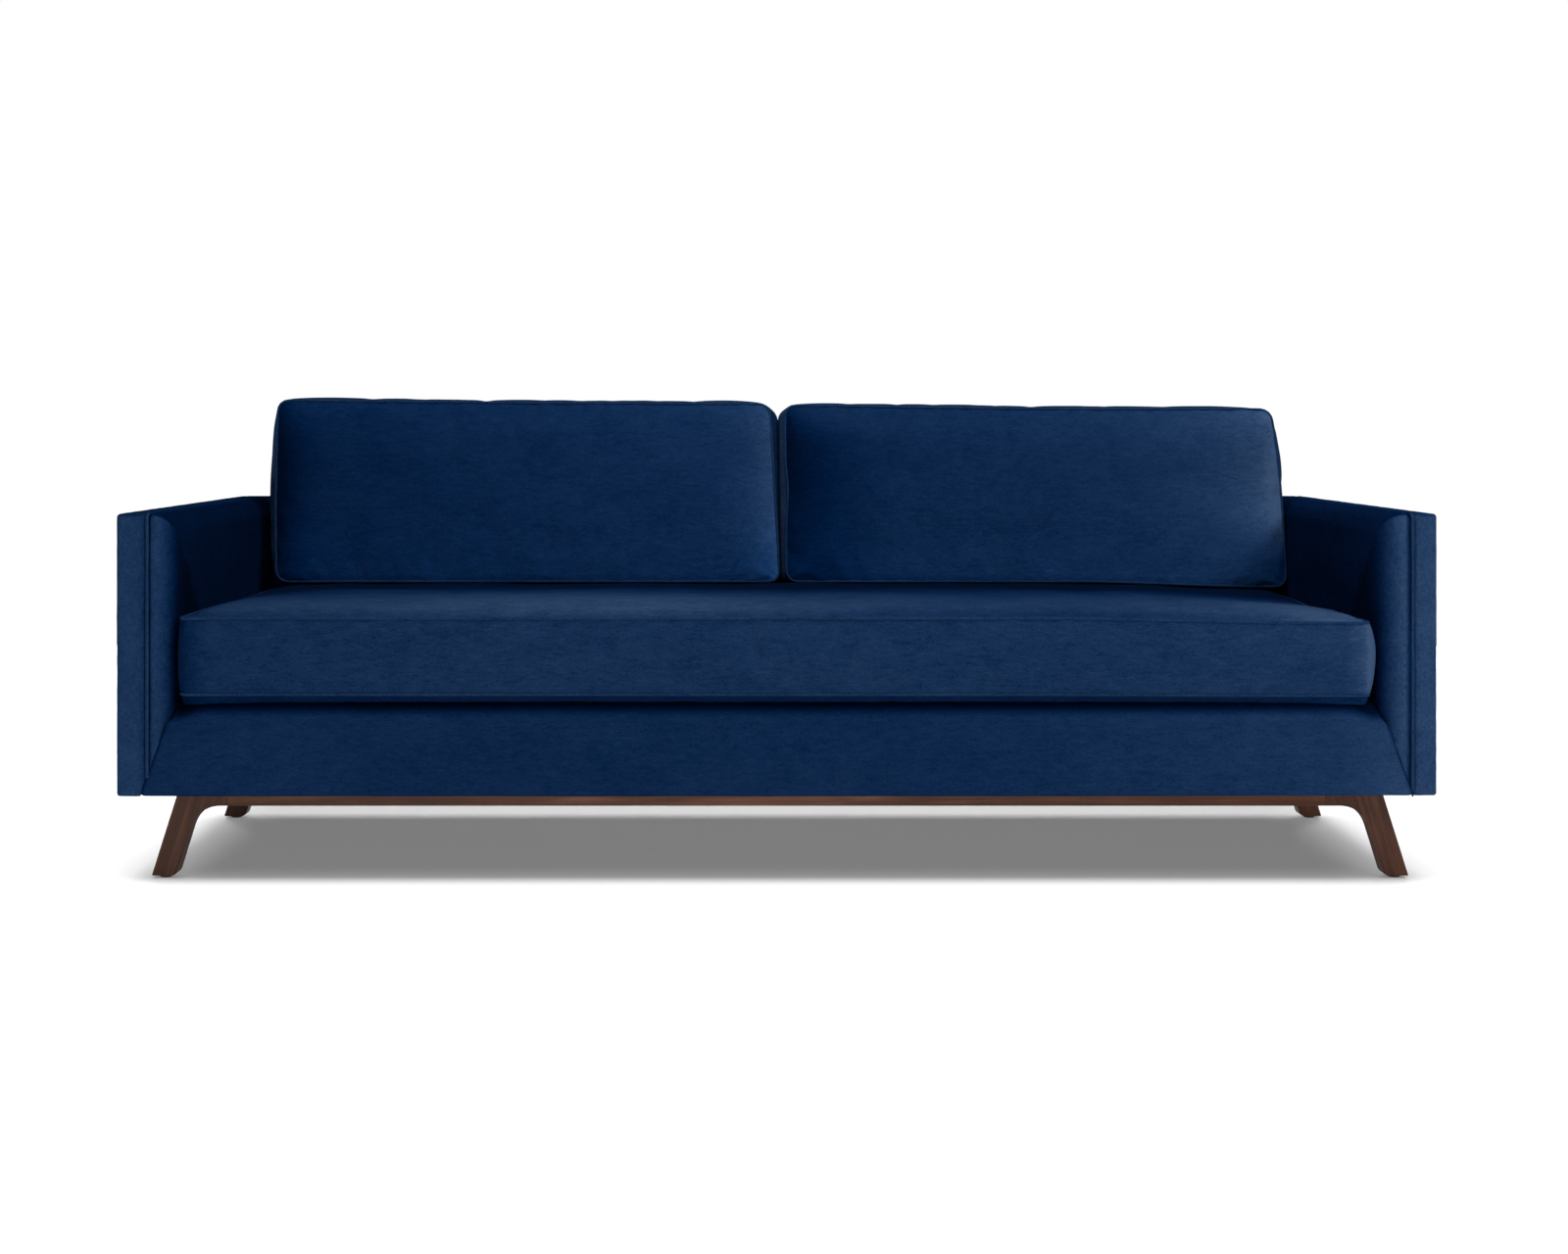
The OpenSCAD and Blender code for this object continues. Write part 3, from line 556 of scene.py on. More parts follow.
def arm_outside(side):
    w = WELT[side]
    tl = np.concatenate([[0.0], np.array([0.0011, 0.0024, 0.0040, 0.0056, 0.0085, 0.0130]), np.linspace(0.019, w - 0.009, 4), [w - 0.0065, w - 0.0045, w - 0.0028, w - 0.0015, w - 0.0005]])
    if w > 0.045:
        tl = np.sort(np.append(tl, [0.0390, 0.0404]))
    zs = lines(TOP - BOX - 0.0042, (), (0.0015, 0.0035, 0.006, 0.009, 0.014, 0.022), 0.014) + 0.0042
    zv = np.concatenate([[h[0] for h in HEM[:-1]], zs])           # height above the underside
    under = np.concatenate([[h[1] for h in HEM[:-1]], np.zeros(len(zs))])
    yv = lines(2 * HD, (0.0015, 0.0035, 0.006, 0.009, 0.014, 0.022), (0.0015, 0.0035, 0.006, 0.009, 0.014, 0.022), 0.015)
    H = TOP - BOX
    X = lambda t: side * (HW - t)
    net = Net()
    # side face
    S = np.empty((len(zv), len(yv), 3))
    S[..., 0] = X(0)
    S[..., 1] = -HD + yv[None, :]
    S[..., 2] = BOX + zv[:, None]
    # front band, cut at the mitre seam near the bottom
    zl = np.where(tl > 0.041, mitre_z(tl), BOX)
    FB = np.empty((len(zv), len(tl), 3))
    FB[..., 0] = X(tl)[None, :]
    FB[..., 1] = -HD
    FB[..., 2] = zl[None, :] + (zv[:, None] / H) * (TOP - zl[None, :])
    TB = np.empty((len(tl), len(yv), 3))
    TB[..., 0] = X(tl)[:, None]
    TB[..., 1] = -HD + (yv[None, :] / (2 * HD)) * (2 * HD - tl[:, None])
    TB[..., 2] = TOP
    tr = np.array([0.0, 0.0011, 0.0024, 0.0040, 0.0056, 0.0085, 0.0125])
    RW = np.empty((len(zv), len(tr), 3))
    RW[..., 0] = X(tr)[None, :]
    RW[..., 1] = HD
    RW[..., 2] = BOX + zv[:, None]
    for P, pinched, low in ((S, None, True), (FB, tl, True), (TB, tl, False), (RW, None, True)):
        Q, N = rounded_box(P)
        if low:
            u = under[:, None, None] * np.ones(P.shape[:2] + (1,))
            Nxy = N * np.array([1, 1, 0])
            Q = Q - u * Nxy
            Q[..., 2] -= hang(zv, under, side * HW)[:, None] * (np.where(tl > 0.0412, 0.0, 1.0)[None, :] if P is FB else 1.0)
        if pinched is not None:
            dd = np.abs(w - pinched)
            dp = pinch(dd, 0.0075, 0.0030) + pinch(dd, 0.0012, 0.009)
            if P is TB:
                Q = Q - N * dp[:, None, None]
            else:
                Q = Q - N * dp[None, :, None]
        if P is TB:          # mitre with the band along the back
            s = (2 * HD - tl)[:, None] * (1 - yv[None, :] / (2 * HD))
            Q = Q - N * pinch(s, 0.0014, 0.0025)[..., None]
        if P is RW:
            Q = Q - N * pinch(0.0125 - tr, 0.0016, 0.0025)[None, :, None]
        net.grid(Q)
    nm = ("left" if side < 0 else "right") + "_arm_outside"
    me = net.mesh(nm)
    face_outward(me, (side * (HW - 0.05), 0, 0.39))
    v, n = coords(me), normals(me)
    # stretched cloth over thin padding: faint swell and waves on the side, puckers by the welt
    inside_y = smooth((HD - np.abs(v[:, 1])) / 0.06)
    inside_z = smooth((v[:, 2] - BOX) / 0.05) * smooth((TOP - v[:, 2]) / 0.05)
    big = np.abs(n[:, 0]) > 0.9
    swell = np.where(big, 0.0022 * inside_y * inside_z + 0.0007 * pnoise(v, (7, 7, 9), 3 + side) * inside_y * inside_z, 0.0)
    fine = 0.00022 * pnoise(v, (60, 60, 60), 5 + side)
    dw = np.abs(np.abs(v[:, 0]) - (HW - w))
    puck = 0.0005 * np.exp(-dw / 0.012) * pnoise(v * np.array([0, 1, 1]), 55.0, 9 + side)
    set_coords(me, v + n * (swell + fine + puck)[:, None])
    # painted light and shade on the cover: darker in the welt seam on the front and on the top strip, darker at the
    # turned-under hem, the side faces darker than the front, and the right arm lighter than the left, where the light
    # from the right falls
    t = HW - np.abs(v[:, 0])
    front = smooth((-v[:, 1] - HD + 0.012) / 0.012)
    painted_level = 1.0 - front * (0.50 * np.exp(-np.abs(w - 0.004 - t) / 0.006) if side < 0 else 0.25 * np.exp(-np.abs(w - 0.003 - t) / 0.004))
    painted_level = np.where(v[:, 2] > TOP - 0.004, 0.55, painted_level)
    painted_level = painted_level * (0.62 + 0.38 * smooth((v[:, 2] - BOX + 0.0040) / 0.0030))
    nap(me, painted_level * (1.16 if side < 0 else 1.46) * np.where(front > 0.5, 1.0, 0.8))
    piece(nm, me, M_ARM_L if side < 0 else M_ARM_R, "sofa_frame",
                    [f"{'left' if side < 0 else 'right'}_arm_outside_cover", f"{'left' if side < 0 else 'right'}_arm_outside_pad"], solid=0.0014)


def arm_inside(side):
    w = WELT[side]
    R = 0.038
    prof = [(w - 0.0045, 0.0104), (w - 0.0015, 0.0102), (w + 0.0008, 0.0082), (w + 0.0024, 0.0052), (w + 0.0042, 0.0022), (w + 0.0062, 0.0004), (w + 0.009, -0.0006)]
    prof += [(t, -0.0008) for t in np.linspace(w + 0.009, ARM - R, 4)[1:-1]] if w < 0.045 else []
    prof += [(ARM - R + R * math.sin(a) ** 1.0, R * (1 - math.cos(a)) - 0.0006 * math.cos(a)) for a in np.radians(np.arange(0, 91, 7.5)) if ARM - R + R * math.sin(a) > prof[-1][0] + 0.001]
    T_ = np.array([p[0] for p in prof])
    D_ = np.array([p[1] for p in prof])
    # the cloth runs on a little way behind the rolled end of the front rail
    zl = np.minimum(mitre_z(np.maximum(T_, 0.041)), 0.300) + 0.0005 - 0.008 * smooth((D_ - 0.007) / 0.004) * (0.4 + 0.6 * smooth((ARM - T_) / 0.005))
    z0 = 0.300
    Lz = TOP - z0
    vz = lines(Lz, (0.002, 0.005, 0.010), (0.0015, 0.004, 0.008, 0.013, 0.020, 0.030), 0.013) / Lz
    Ly = 0.396 + HD
    vy = lines(Ly, (0.0015, 0.004, 0.008, 0.013, 0.020, 0.030), (), 0.015) / Ly
    X = lambda t: side * (HW - t)
    net = Net()
    Fp = np.empty((len(prof), len(vz), 3))
    Fp[..., 0] = X(T_)[:, None]
    Fp[..., 1] = (-HD + D_)[:, None]
    Fp[..., 2] = zl[:, None] + vz[None, :] * (TOP - D_ - zl)[:, None]
    Tp = np.empty((len(prof), len(vy), 3))
    Tp[..., 0] = X(T_)[:, None]
    Tp[..., 1] = (-HD + D_)[:, None] + vy[None, :] * (0.396 + HD - D_)[:, None]
    Tp[..., 2] = (TOP - D_)[:, None]
    yy, zz = Tp[-1, :, 1], Fp[-1, :, 2]
    In = np.empty((len(zz), len(yy), 3))
    In[..., 0] = X(ARM)
    In[..., 1] = yy[None, :]
    In[..., 2] = zz[:, None]
    for P in (Fp, Tp, In):
        net.grid(P)
    nm = ("left" if side < 0 else "right") + "_arm_inside"
    me = net.mesh(nm)
    face_outward(me, (side * HW, 0.2, 0.2))
    v = coords(me)
    # ease the corner where the front meets the top
    a, b = v[:, 1] + HD, TOP - v[:, 2]
    k = 0.016
    h = np.clip(k - np.abs(a - b), 0, None) / k
    v[:, 1] += h * h * k / 4
    v[:, 2] -= h * h * k / 4
    set_coords(me, v)
    n = normals(me)
    inner = np.abs(np.abs(v[:, 0]) - (HW - ARM)) < 0.001
    swell = np.where(inner, 0.0022 * smooth((a - 0.04) / 0.15) * smooth((b - 0.04) / 0.06) * smooth((v[:, 2] - 0.46) / 0.05), 0)
    dw = np.abs(np.abs(v[:, 0]) - (HW - w))
    along = np.where(a < b, v[:, 2], v[:, 1])
    pk = np.stack([along * 0, along, (a < b) * 3.0], 1)
    puck = 0.0009 * np.exp(-dw / 0.016) * pnoise(pk, (1, 34, 1), 11 + side)
    soft = 0.0009 * pnoise(v, (9, 9, 9), 13 + side)
    # small drag folds where the cloth turns the corner
    corner = np.exp(-((a ** 2 + b ** 2) ** 0.5) / 0.03)
    ang = np.arctan2(b, a)
    drag = 0.0010 * corner * np.cos(ang * 14)
    set_coords(me, v + n * (swell + puck + soft + drag)[:, None])
    # painted shade: the inner faces are painted near black, lighter towards the front edge and at full tone on the
    # front by the welt, the top strip painted mid-dark, a darker crease line beside the welt, and the right arm lighter
    # than the left
    t = HW - np.abs(v[:, 0])
    deep = np.minimum(a, b)
    on_top = b < a
    reach = 0.055 if side < 0 else 0.062
    painted_level = (0.040 if side < 0 else 0.062) + 0.095 * (1 - smooth((a - 0.01) / 0.09))
    painted_level = painted_level + (1 - painted_level) * (1 - smooth((t - (w + 0.008)) / reach)) ** 1.55 * (1 - smooth((a - 0.006) / 0.040))
    top_painted_level = 0.16 + 0.30 * (1 - smooth((t - w) / 0.020))
    painted_level += (top_painted_level - painted_level) * smooth((a - b + 0.003) / 0.008)
    if side < 0:
        crease = (1 - 0.35 * np.exp(-((t - w - 0.004) / 0.003) ** 2)) * (1 - 0.25 * np.exp(-np.abs(t - w) / 0.014))
    else:
        crease = 1 - 0.78 * np.exp(-((t - w - 0.0062) / 0.0044) ** 2)
    nap(me, painted_level * crease * (1.25 if side < 0 else 1.72))
    piece(nm, me, M_ARM_L if side < 0 else M_ARM_R, "sofa_frame",
                    [f"{'left' if side < 0 else 'right'}_arm_inside_cover", f"{'left' if side < 0 else 'right'}_arm_inside_pad"], solid=0.0014)


for side in (-1, 1):
    arm_outside(side)
    arm_inside(side)


# ------------------------------------------------------------------ welt round arms and back
def turn(a, b, c, r, n=6):
    """points of an arc that rounds corner b"""
    a, b, c = (np.asarray(p, float) for p in (a, b, c))
    u, w = a - b, c - b
    u /= np.linalg.norm(u)
    w /= np.linalg.norm(w)
    half = math.acos(float(u.dot(w))) / 2
    t = r / math.tan(half)
    m = b + (u + w) / np.linalg.norm(u + w) * (r / math.sin(half))
    s, e = b + u * t - m, b + w * t - m
    sw = math.pi - 2 * half
    return [m + (math.sin((1 - k / n) * sw) * s + math.sin(k / n * sw) * e) / math.sin(sw) for k in range(n + 1)]


def dense(path, step=0.02):
    out = [np.asarray(path[0], float)]
    for p in path[1:]:
        p = np.asarray(p, float)
        d = np.linalg.norm(p - out[-1])
        k = max(1, round(d / step))
        a = out[-1].copy()
        out += [a + (p - a) * (i + 1) / k for i in range(k)]
    return np.array(out)


xl, xr = -(HW - WELT[-1]), HW - WELT[1]
yf, yb, zt = -HD + 0.0016, 0.400, TOP - 0.0016
corners = [(xl, yf, mitre_z(0.050) + 0.002), (xl, yf, zt), (xl, yb, zt), (xr, yb, zt), (xr, yf, zt), (xr, yf, mitre_z(0.042) + 0.002)]
path = [corners[0]]
for i, r in zip(range(1, 5), (0.010, 0.012, 0.012, 0.010)):
    path += turn(corners[i - 1], corners[i], corners[i + 1], r)
path.append(corners[5])
path = dense(path, 0.012)
path += 0.00035 * np.stack([pnoise(path, 22.0, 31 + k) for k in range(3)], 1)
me = join_tubes("frame_welt", [tube(path, 0.0029, sides=12, wobble=0.04, seed=4)])
v = coords(me)
# painted light and shade on the welt: full tone on the front, a little lighter to the right, painted darker on the top
# and back runs
nap(me, np.where(v[:, 1] < -HD + 0.01, 1.02 + 0.05 * smooth(v[:, 0]), 0.45))
piece("frame_welt", me, M_WELT, "sofa_frame", ["arm_welts", "back_welt"])


# ------------------------------------------------------------------ front rail
def front_rail():
    rows = [(-HD + u, BOX + h) for h, u in HEM]
    z_arc = DECK - 0.025
    rows += [(-HD, BOX + 0.0042 + (z_arc - BOX - 0.0042) * k / 11) for k in range(1, 12)]
    rows += [(-HD + 0.025 - 0.025 * math.cos(a), z_arc + 0.025 * math.sin(a)) for a in np.radians(np.arange(9, 91, 9))]
    rows += [(-HD + 0.025 + 0.041 * k / 4, DECK) for k in range(1, 5)]
    rows = np.array(rows)
    tm = 0.041 + (np.clip(rows[:, 1], BOX, 0.300) - BOX) * (0.054 / 0.147)
    xe = HW - np.minimum(tm, ARM) - 0.0003 + 0.0019 * smooth((0.278 - rows[:, 1]) / 0.010) * smooth((rows[:, 1] - BOX - 0.0030) / 0.0030)
    vx = lines(2 * IX, FINE, FINE, 0.016) / (2 * IX)
    P = np.empty((len(rows), len(vx), 3))
    P[..., 0] = -xe[:, None] + vx[None, :] * (2 * xe)[:, None]
    P[..., 1] = rows[:, 0][:, None]
    P[..., 2] = rows[:, 1][:, None]
    end = (xe[:, None] - np.abs(P[..., 0]))
    # the rolled top edge falls away towards the mitre
    drop = 0.016 * smooth((0.052 - (IX - np.abs(P[..., 0]))) / 0.052) * smooth((P[..., 2] - 0.262) / 0.040)
    drop *= 1 - smooth((P[..., 1] + 0.438) / 0.034)
    P[..., 2] -= drop
    u = np.where(rows[:, 1] < BOX + 0.0042, rows[:, 0] + HD, 0.0)
    P[..., 2] -= hang((rows[:, 1] - BOX)[:, None], u[:, None], P[..., 0])
    net = Net()
    net.grid(P)
    me = net.mesh("front_rail")
    face_outward(me, (0, 0.2, 0.1))
    v, n = coords(me), normals(me)
    tmv = 0.041 + (np.clip(v[:, 2], BOX, 0.300) - BOX) * (0.054 / 0.147)
    e = np.clip(HW - np.minimum(tmv, ARM) - np.abs(v[:, 0]), 0, None)
    mid = smooth((v[:, 2] - BOX) / 0.05) * smooth(e / 0.05)
    swell = 0.0028 * mid * smooth((0.31 - v[:, 2]) / 0.06) + 0.0009 * mid * pnoise(v, (5, 9, 16), 41)
    pk = 0.0007 * np.exp(-e / 0.02) * pnoise(v, (1, 1, 60), 43)
    seam = -pinch(e, 0.0026, 0.0030)
    set_coords(me, v + n * (swell + pk + seam)[:, None])
    # painted light and shade on the rail: lighter towards the right end with a painted highlight there, darker in the
    # seam at each end and at the bottom hem, and a painted shadow along the rolled top under the seat cushion's
    # overhang
    x = v[:, 0]
    painted_level = 0.64 + 0.32 * smooth((x - 0.25) / 0.75) + 0.34 * smooth((x - 0.95) / 0.12)
    painted_level *= (1 - 0.60 * np.exp(-(e / 0.0030) ** 2)) * (0.62 + 0.38 * smooth((v[:, 2] - BOX + 0.0040) / 0.0030))
    painted_level *= 0.14 + 0.86 * smooth((0.3045 - 0.004 - v[:, 2] - 0.011 * smooth((np.abs(x) - 0.965) / 0.05)) / 0.020)
    nap(me, painted_level)
    piece("front_rail", me, M_RAIL, "sofa_frame", ["front_rail_cover", "front_rail_pad"], solid=0.0014)


front_rail()


# ------------------------------------------------------------------ back
def back_inside():
    z0 = 0.264
    R = 0.028
    rows = []
    za = TOP - R * (1 - math.sin(math.radians(7)))
    for z in np.linspace(z0, za, 27):
        rows.append((back_y(z), z))
    cy = back_y(za) + R * math.cos(math.radians(7))
    for a in np.radians(np.arange(7 + 9, 91, 8.3)):
        rows.append((cy - R * math.cos(a), TOP - R + R * math.sin(a)))
    y1 = rows[-1][0]
    rows += [(y, TOP) for y in np.linspace(y1, 0.3935, 4)[1:]] + [(0.3960, TOP - 0.0010), (0.3985, TOP - 0.003)]
    rows = np.array(rows)
    xa, xb = -(HW - WELT[-1] - 0.0035), HW - WELT[1] - 0.0035
    xs = lines(xb - xa, (0.004, 0.010), (0.004, 0.010), 0.018) + xa
    P = np.empty((len(rows), len(xs), 3))
    P[..., 0] = xs[None, :]
    P[..., 1] = rows[:, 0][:, None]
    P[..., 2] = rows[:, 1][:, None]
    net = Net()
    net.grid(P)
    me = net.mesh("back_inside")
    face_outward(me, (0, 0.6, 0.3))
    v, n = coords(me), normals(me)
    mid = smooth((IX - np.abs(v[:, 0])) / 0.08)
    dw = np.abs(v[:, 1] - 0.400)
    set_coords(me, v + n * (mid * 0.0006 * pnoise(v, (7, 7, 10), 51) + 0.0007 * np.exp(-dw / 0.014) * pnoise(v, (34, 1, 1), 53))[:, None])
    # painted shade: the back's inside, behind the cushions, is painted darker
    nap(me, 0.42)
    piece("back_inside", me, M_BACK, "sofa_frame", ["back_inside_cover", "back_pad"], solid=0.0014)


def back_outside():
    H = TOP - BOX
    zs = lines(H - 0.0042, (), (0.0015, 0.0035, 0.006, 0.009, 0.014, 0.022), 0.016) + 0.0042
    zv = np.concatenate([[h[0] for h in HEM[:-1]], zs])
    under = np.concatenate([[h[1] for h in HEM[:-1]], np.zeros(len(zs))])
    xe = HW - 0.0125
    xs = lines(2 * xe, (0.0015, 0.004, 0.008, 0.014), (0.0015, 0.004, 0.008, 0.014), 0.020) - xe
    RF = np.empty((len(zv), len(xs), 3))
    RF[..., 0] = xs[None, :]
    RF[..., 1] = HD
    RF[..., 2] = BOX + zv[:, None]
    tl = np.array([0.0, 0.002, 0.0045, 0.007, 0.0095, 0.014, 0.022, 0.030, 0.038, 0.0435, 0.0460, 0.0478])
    u = (xs + xe) / (2 * xe)
    TB = np.empty((len(tl), len(xs), 3))
    TB[..., 1] = (HD - tl)[:, None]
    TB[..., 2] = TOP
    half = np.where(tl < 0.0125, xe, HW - tl)
    TB[..., 0] = -half[:, None] + u[None, :] * 2 * half[:, None]
    net = Net()
    for P in (RF, TB):
        Q, N = rounded_box(P)
        if P is RF:
            Q = Q - under[:, None, None] * N * np.array([1, 1, 0])
            Q[..., 2] -= hang(zv[:, None], under[:, None], xs[None, :])
            Q = Q - N * pinch(xe - np.abs(xs), 0.0016, 0.0025)[None, :, None]
        else:
            Q = Q - N * pinch(0.0493 - tl, 0.0030, 0.0030)[:, None, None]
            s = (half[:, None] - np.abs(P[..., 0]))
            Q = Q - N * pinch(s, 0.0014, 0.0025)[..., None]
        net.grid(Q)
    me = net.mesh("back_outside")
    face_outward(me, (0, 0, 0.39))
    v, n = coords(me), normals(me)
    rear = n[:, 1] > 0.9
    mid = smooth((xe - np.abs(v[:, 0])) / 0.07) * smooth((v[:, 2] - BOX) / 0.05) * smooth((TOP - v[:, 2]) / 0.05)
    swell = np.where(rear, mid * (0.0018 + 0.0012 * pnoise(v, (5, 5, 8), 61)), 0)
    dw = np.abs(v[:, 1] - 0.400)
    set_coords(me, v + n * (swell + 0.0005 * np.exp(-dw / 0.012) * pnoise(v, (45, 1, 1), 63))[:, None])
    nap(me, 1.0)
    piece("back_outside", me, M_BACK, "sofa_frame", ["back_outside_cover", "back_outside_pad"], solid=0.0014)


back_inside()
back_outside()


# ------------------------------------------------------------------ deck and dust cover
def deck():
    xs = lines(2 * (IX - 0.0015), (0.004, 0.012), (0.004, 0.012), 0.022) - (IX - 0.0015)
    ys = lines(0.296 + 0.3845, (0.004, 0.012), (0.004, 0.012), 0.022) - 0.3845
    P = np.empty((len(ys), len(xs), 3))
    P[..., 0] = xs[None, :]
    P[..., 1] = ys[:, None]
    P[..., 2] = DECK
    net = Net()
    net.grid(P)
    me = net.mesh("deck_cloth")
    face_outward(me, (0, 0, 0))
    v = coords(me)
    ex = np.minimum(IX - np.abs(v[:, 0]), np.minimum(v[:, 1] + 0.3845, 0.296 - v[:, 1]))
    v[:, 2] -= 0.0016 * np.exp(-np.clip(ex, 0, None) / 0.006) + 0.0006 * (1 + pnoise(v, (6, 8, 1), 71)) * smooth(ex / 0.04)
    set_coords(me, v)
    # painted shade: the deck under the seat cushion is painted darker
    nap(me, 0.34)
    piece("deck_cloth", me, M_BACK, "sofa_frame", ["deck_cover"], solid=0.0012)


def dust_cover():
    """thin black sheet stapled under the frame, slack between its staples"""
    xe, y0, y1 = HW - 0.0105, -HD + 0.0105, HD - 0.0105
    xs = lines(2 * xe, (0.004, 0.010), (0.004, 0.010), 0.025) - xe
    ys = lines(y1 - y0, (0.004, 0.010), (0.004, 0.010), 0.025) + y0
    P = np.empty((len(ys), len(xs), 3))
    P[..., 0] = xs[None, :]
    P[..., 1] = ys[:, None]
    P[..., 2] = BOX + 0.0006
    e = np.minimum(xe - np.abs(P[..., 0]), np.minimum(P[..., 1] - y0, y1 - P[..., 1]))
    flat = P.reshape(-1, 3)
    near_rail = np.zeros(len(flat), bool)
    for a, b in ((-0.405, -0.363), (0.155, 0.197)):
        near_rail |= (flat[:, 1] > a) & (flat[:, 1] < b)
    near_rail |= (np.abs(np.abs(flat[:, 0]) - 0.984) < 0.03) & (flat[:, 1] > -0.4) & (flat[:, 1] < 0.19)
    sag = 0.0004 + 0.0009 * (1 + pnoise(flat, (9, 9, 1), 81))
    sag = np.where(near_rail, 0.0, sag) * smooth(e.reshape(-1) / 0.05)
    flat[:, 2] -= sag
    net = Net()
    net.grid(flat.reshape(P.shape))
    me = net.mesh("dust_sheet")
    face_outward(me, (0, 0, 0.5))
    sheet = piece("dust_sheet", me, M_CAMBRIC, "sofa_frame", ["dust_cover"], solid=0.0)
    # staples along the edges
    bm = bmesh.new()

    def staple(x, y, along_x):
        L, W, Hh = 0.0055, 0.0005, 0.0005
        dx, dy = (L, W) if along_x else (W, L)
        ret = bmesh.ops.create_cube(bm, size=1.0)
        for q in ret["verts"]:
            q.co = Vector((x + q.co.x * 2 * dx, y + q.co.y * 2 * dy, BOX + 0.0002 + q.co.z * 2 * Hh))

    r2 = np.random.default_rng(5)
    for y in (y0 + 0.006, y1 - 0.006):
        for x in np.arange(-xe + 0.03, xe - 0.02, 0.045):
            staple(x + r2.uniform(-0.004, 0.004), y + r2.uniform(-0.0012, 0.0012), True)
    for x in (-xe + 0.006, xe - 0.006):
        for y in np.arange(y0 + 0.03, y1 - 0.02, 0.045):
            staple(x + r2.uniform(-0.0012, 0.0012), y + r2.uniform(-0.004, 0.004), False)
    sm = bpy.data.meshes.new("dust_sheet_staples")
    bm.to_mesh(sm)
    bm.free()
    staples = piece("dust_sheet_staples", sm, M_ZINC, "sofa_frame", smooth_faces=False)


deck()
dust_cover()


# ------------------------------------------------------------------ loose cushions
def box_cushion(a, b, thick, r, step, spec):
    """A boxed cushion's face grid in its own coordinates: x across, y up the face, w through its thickness. Returns the
    positions across, up and through, the grid with rounded corners, each point's distance in from the seam, and the
    seam loop's vertex order."""
    U = lines(2 * a, FINE, FINE, step) - a
    V = lines(2 * b, FINE, FINE, step) - b
    Wl = lines(thick, FINE[:-1], FINE[:-1], step)
    gx, gy = np.meshgrid(U, V, indexing="ij")
    cx, cy = np.clip(gx, -(a - r), a - r), np.clip(gy, -(b - r), b - r)
    dx, dy = gx - cx, gy - cy
    m, l = np.maximum(np.abs(dx), np.abs(dy)), np.hypot(dx, dy)
    f = np.where((np.abs(dx) > 1e-9) & (np.abs(dy) > 1e-9), m / np.maximum(l, 1e-12), 1.0)
    gx, gy = cx + dx * f, cy + dy * f
    qx, qy = np.abs(gx) - (a - r), np.abs(gy) - (b - r)
    dist = np.clip(-(np.hypot(np.clip(qx, 0, None), np.clip(qy, 0, None)) + np.minimum(np.maximum(qx, qy), 0) - r), 0, None)
    nu, nv = len(U), len(V)
    loop = [(i, 0) for i in range(nu)] + [(nu - 1, j) for j in range(1, nv)] + [(i, nv - 1) for i in range(nu - 2, -1, -1)] + [(0, j) for j in range(nv - 2, 0, -1)]
    return U, V, Wl, gx, gy, dist, loop


def simulate(ob, pinned, press, grow, travel, keep_clear, frames=20):
    """Cloth filled by pressure: the cover is cut a little larger than its sewn outline, so it swells and
    puckers against its seams. The result is applied to the mesh and every point's travel is held down."""
    me = ob.data
    base = coords(me).copy()
    grp = ob.vertex_groups.new(name="seams")
    grp.add([int(i) for i in pinned], 1.0, "REPLACE")
    mod = ob.modifiers.new("cloth", "CLOTH")
    st = mod.settings
    st.quality = 5
    st.mass = 0.25
    st.tension_stiffness = st.compression_stiffness = 12
    st.shear_stiffness = 4
    st.bending_stiffness = 0.35
    st.air_damping = 4
    st.tension_damping = st.compression_damping = st.shear_damping = 8
    st.use_pressure = True
    st.uniform_pressure_force = press
    st.vertex_group_mass = "seams"
    st.shrink_min = -grow
    st.effector_weights.gravity = 0
    mod.collision_settings.use_collision = False
    mod.collision_settings.use_self_collision = False
    mod.point_cache.frame_start, mod.point_cache.frame_end = 1, frames
    scene = bpy.context.scene
    for f in range(1, frames + 1):
        scene.frame_set(f)
    dg = bpy.context.evaluated_depsgraph_get()
    ev = ob.evaluated_get(dg).to_mesh()
    done = coords(ev).copy()
    ob.evaluated_get(dg).to_mesh_clear()
    ob.modifiers.remove(mod)
    ob.vertex_groups.remove(grp)
    scene.frame_set(1)
    move = done - base
    dist = np.linalg.norm(move, axis=1, keepdims=True)
    if not np.isfinite(dist).all():
        return
    move *= travel / (travel + dist)
    new = base + move
    keep_clear(new, base)
    set_coords(me, new)


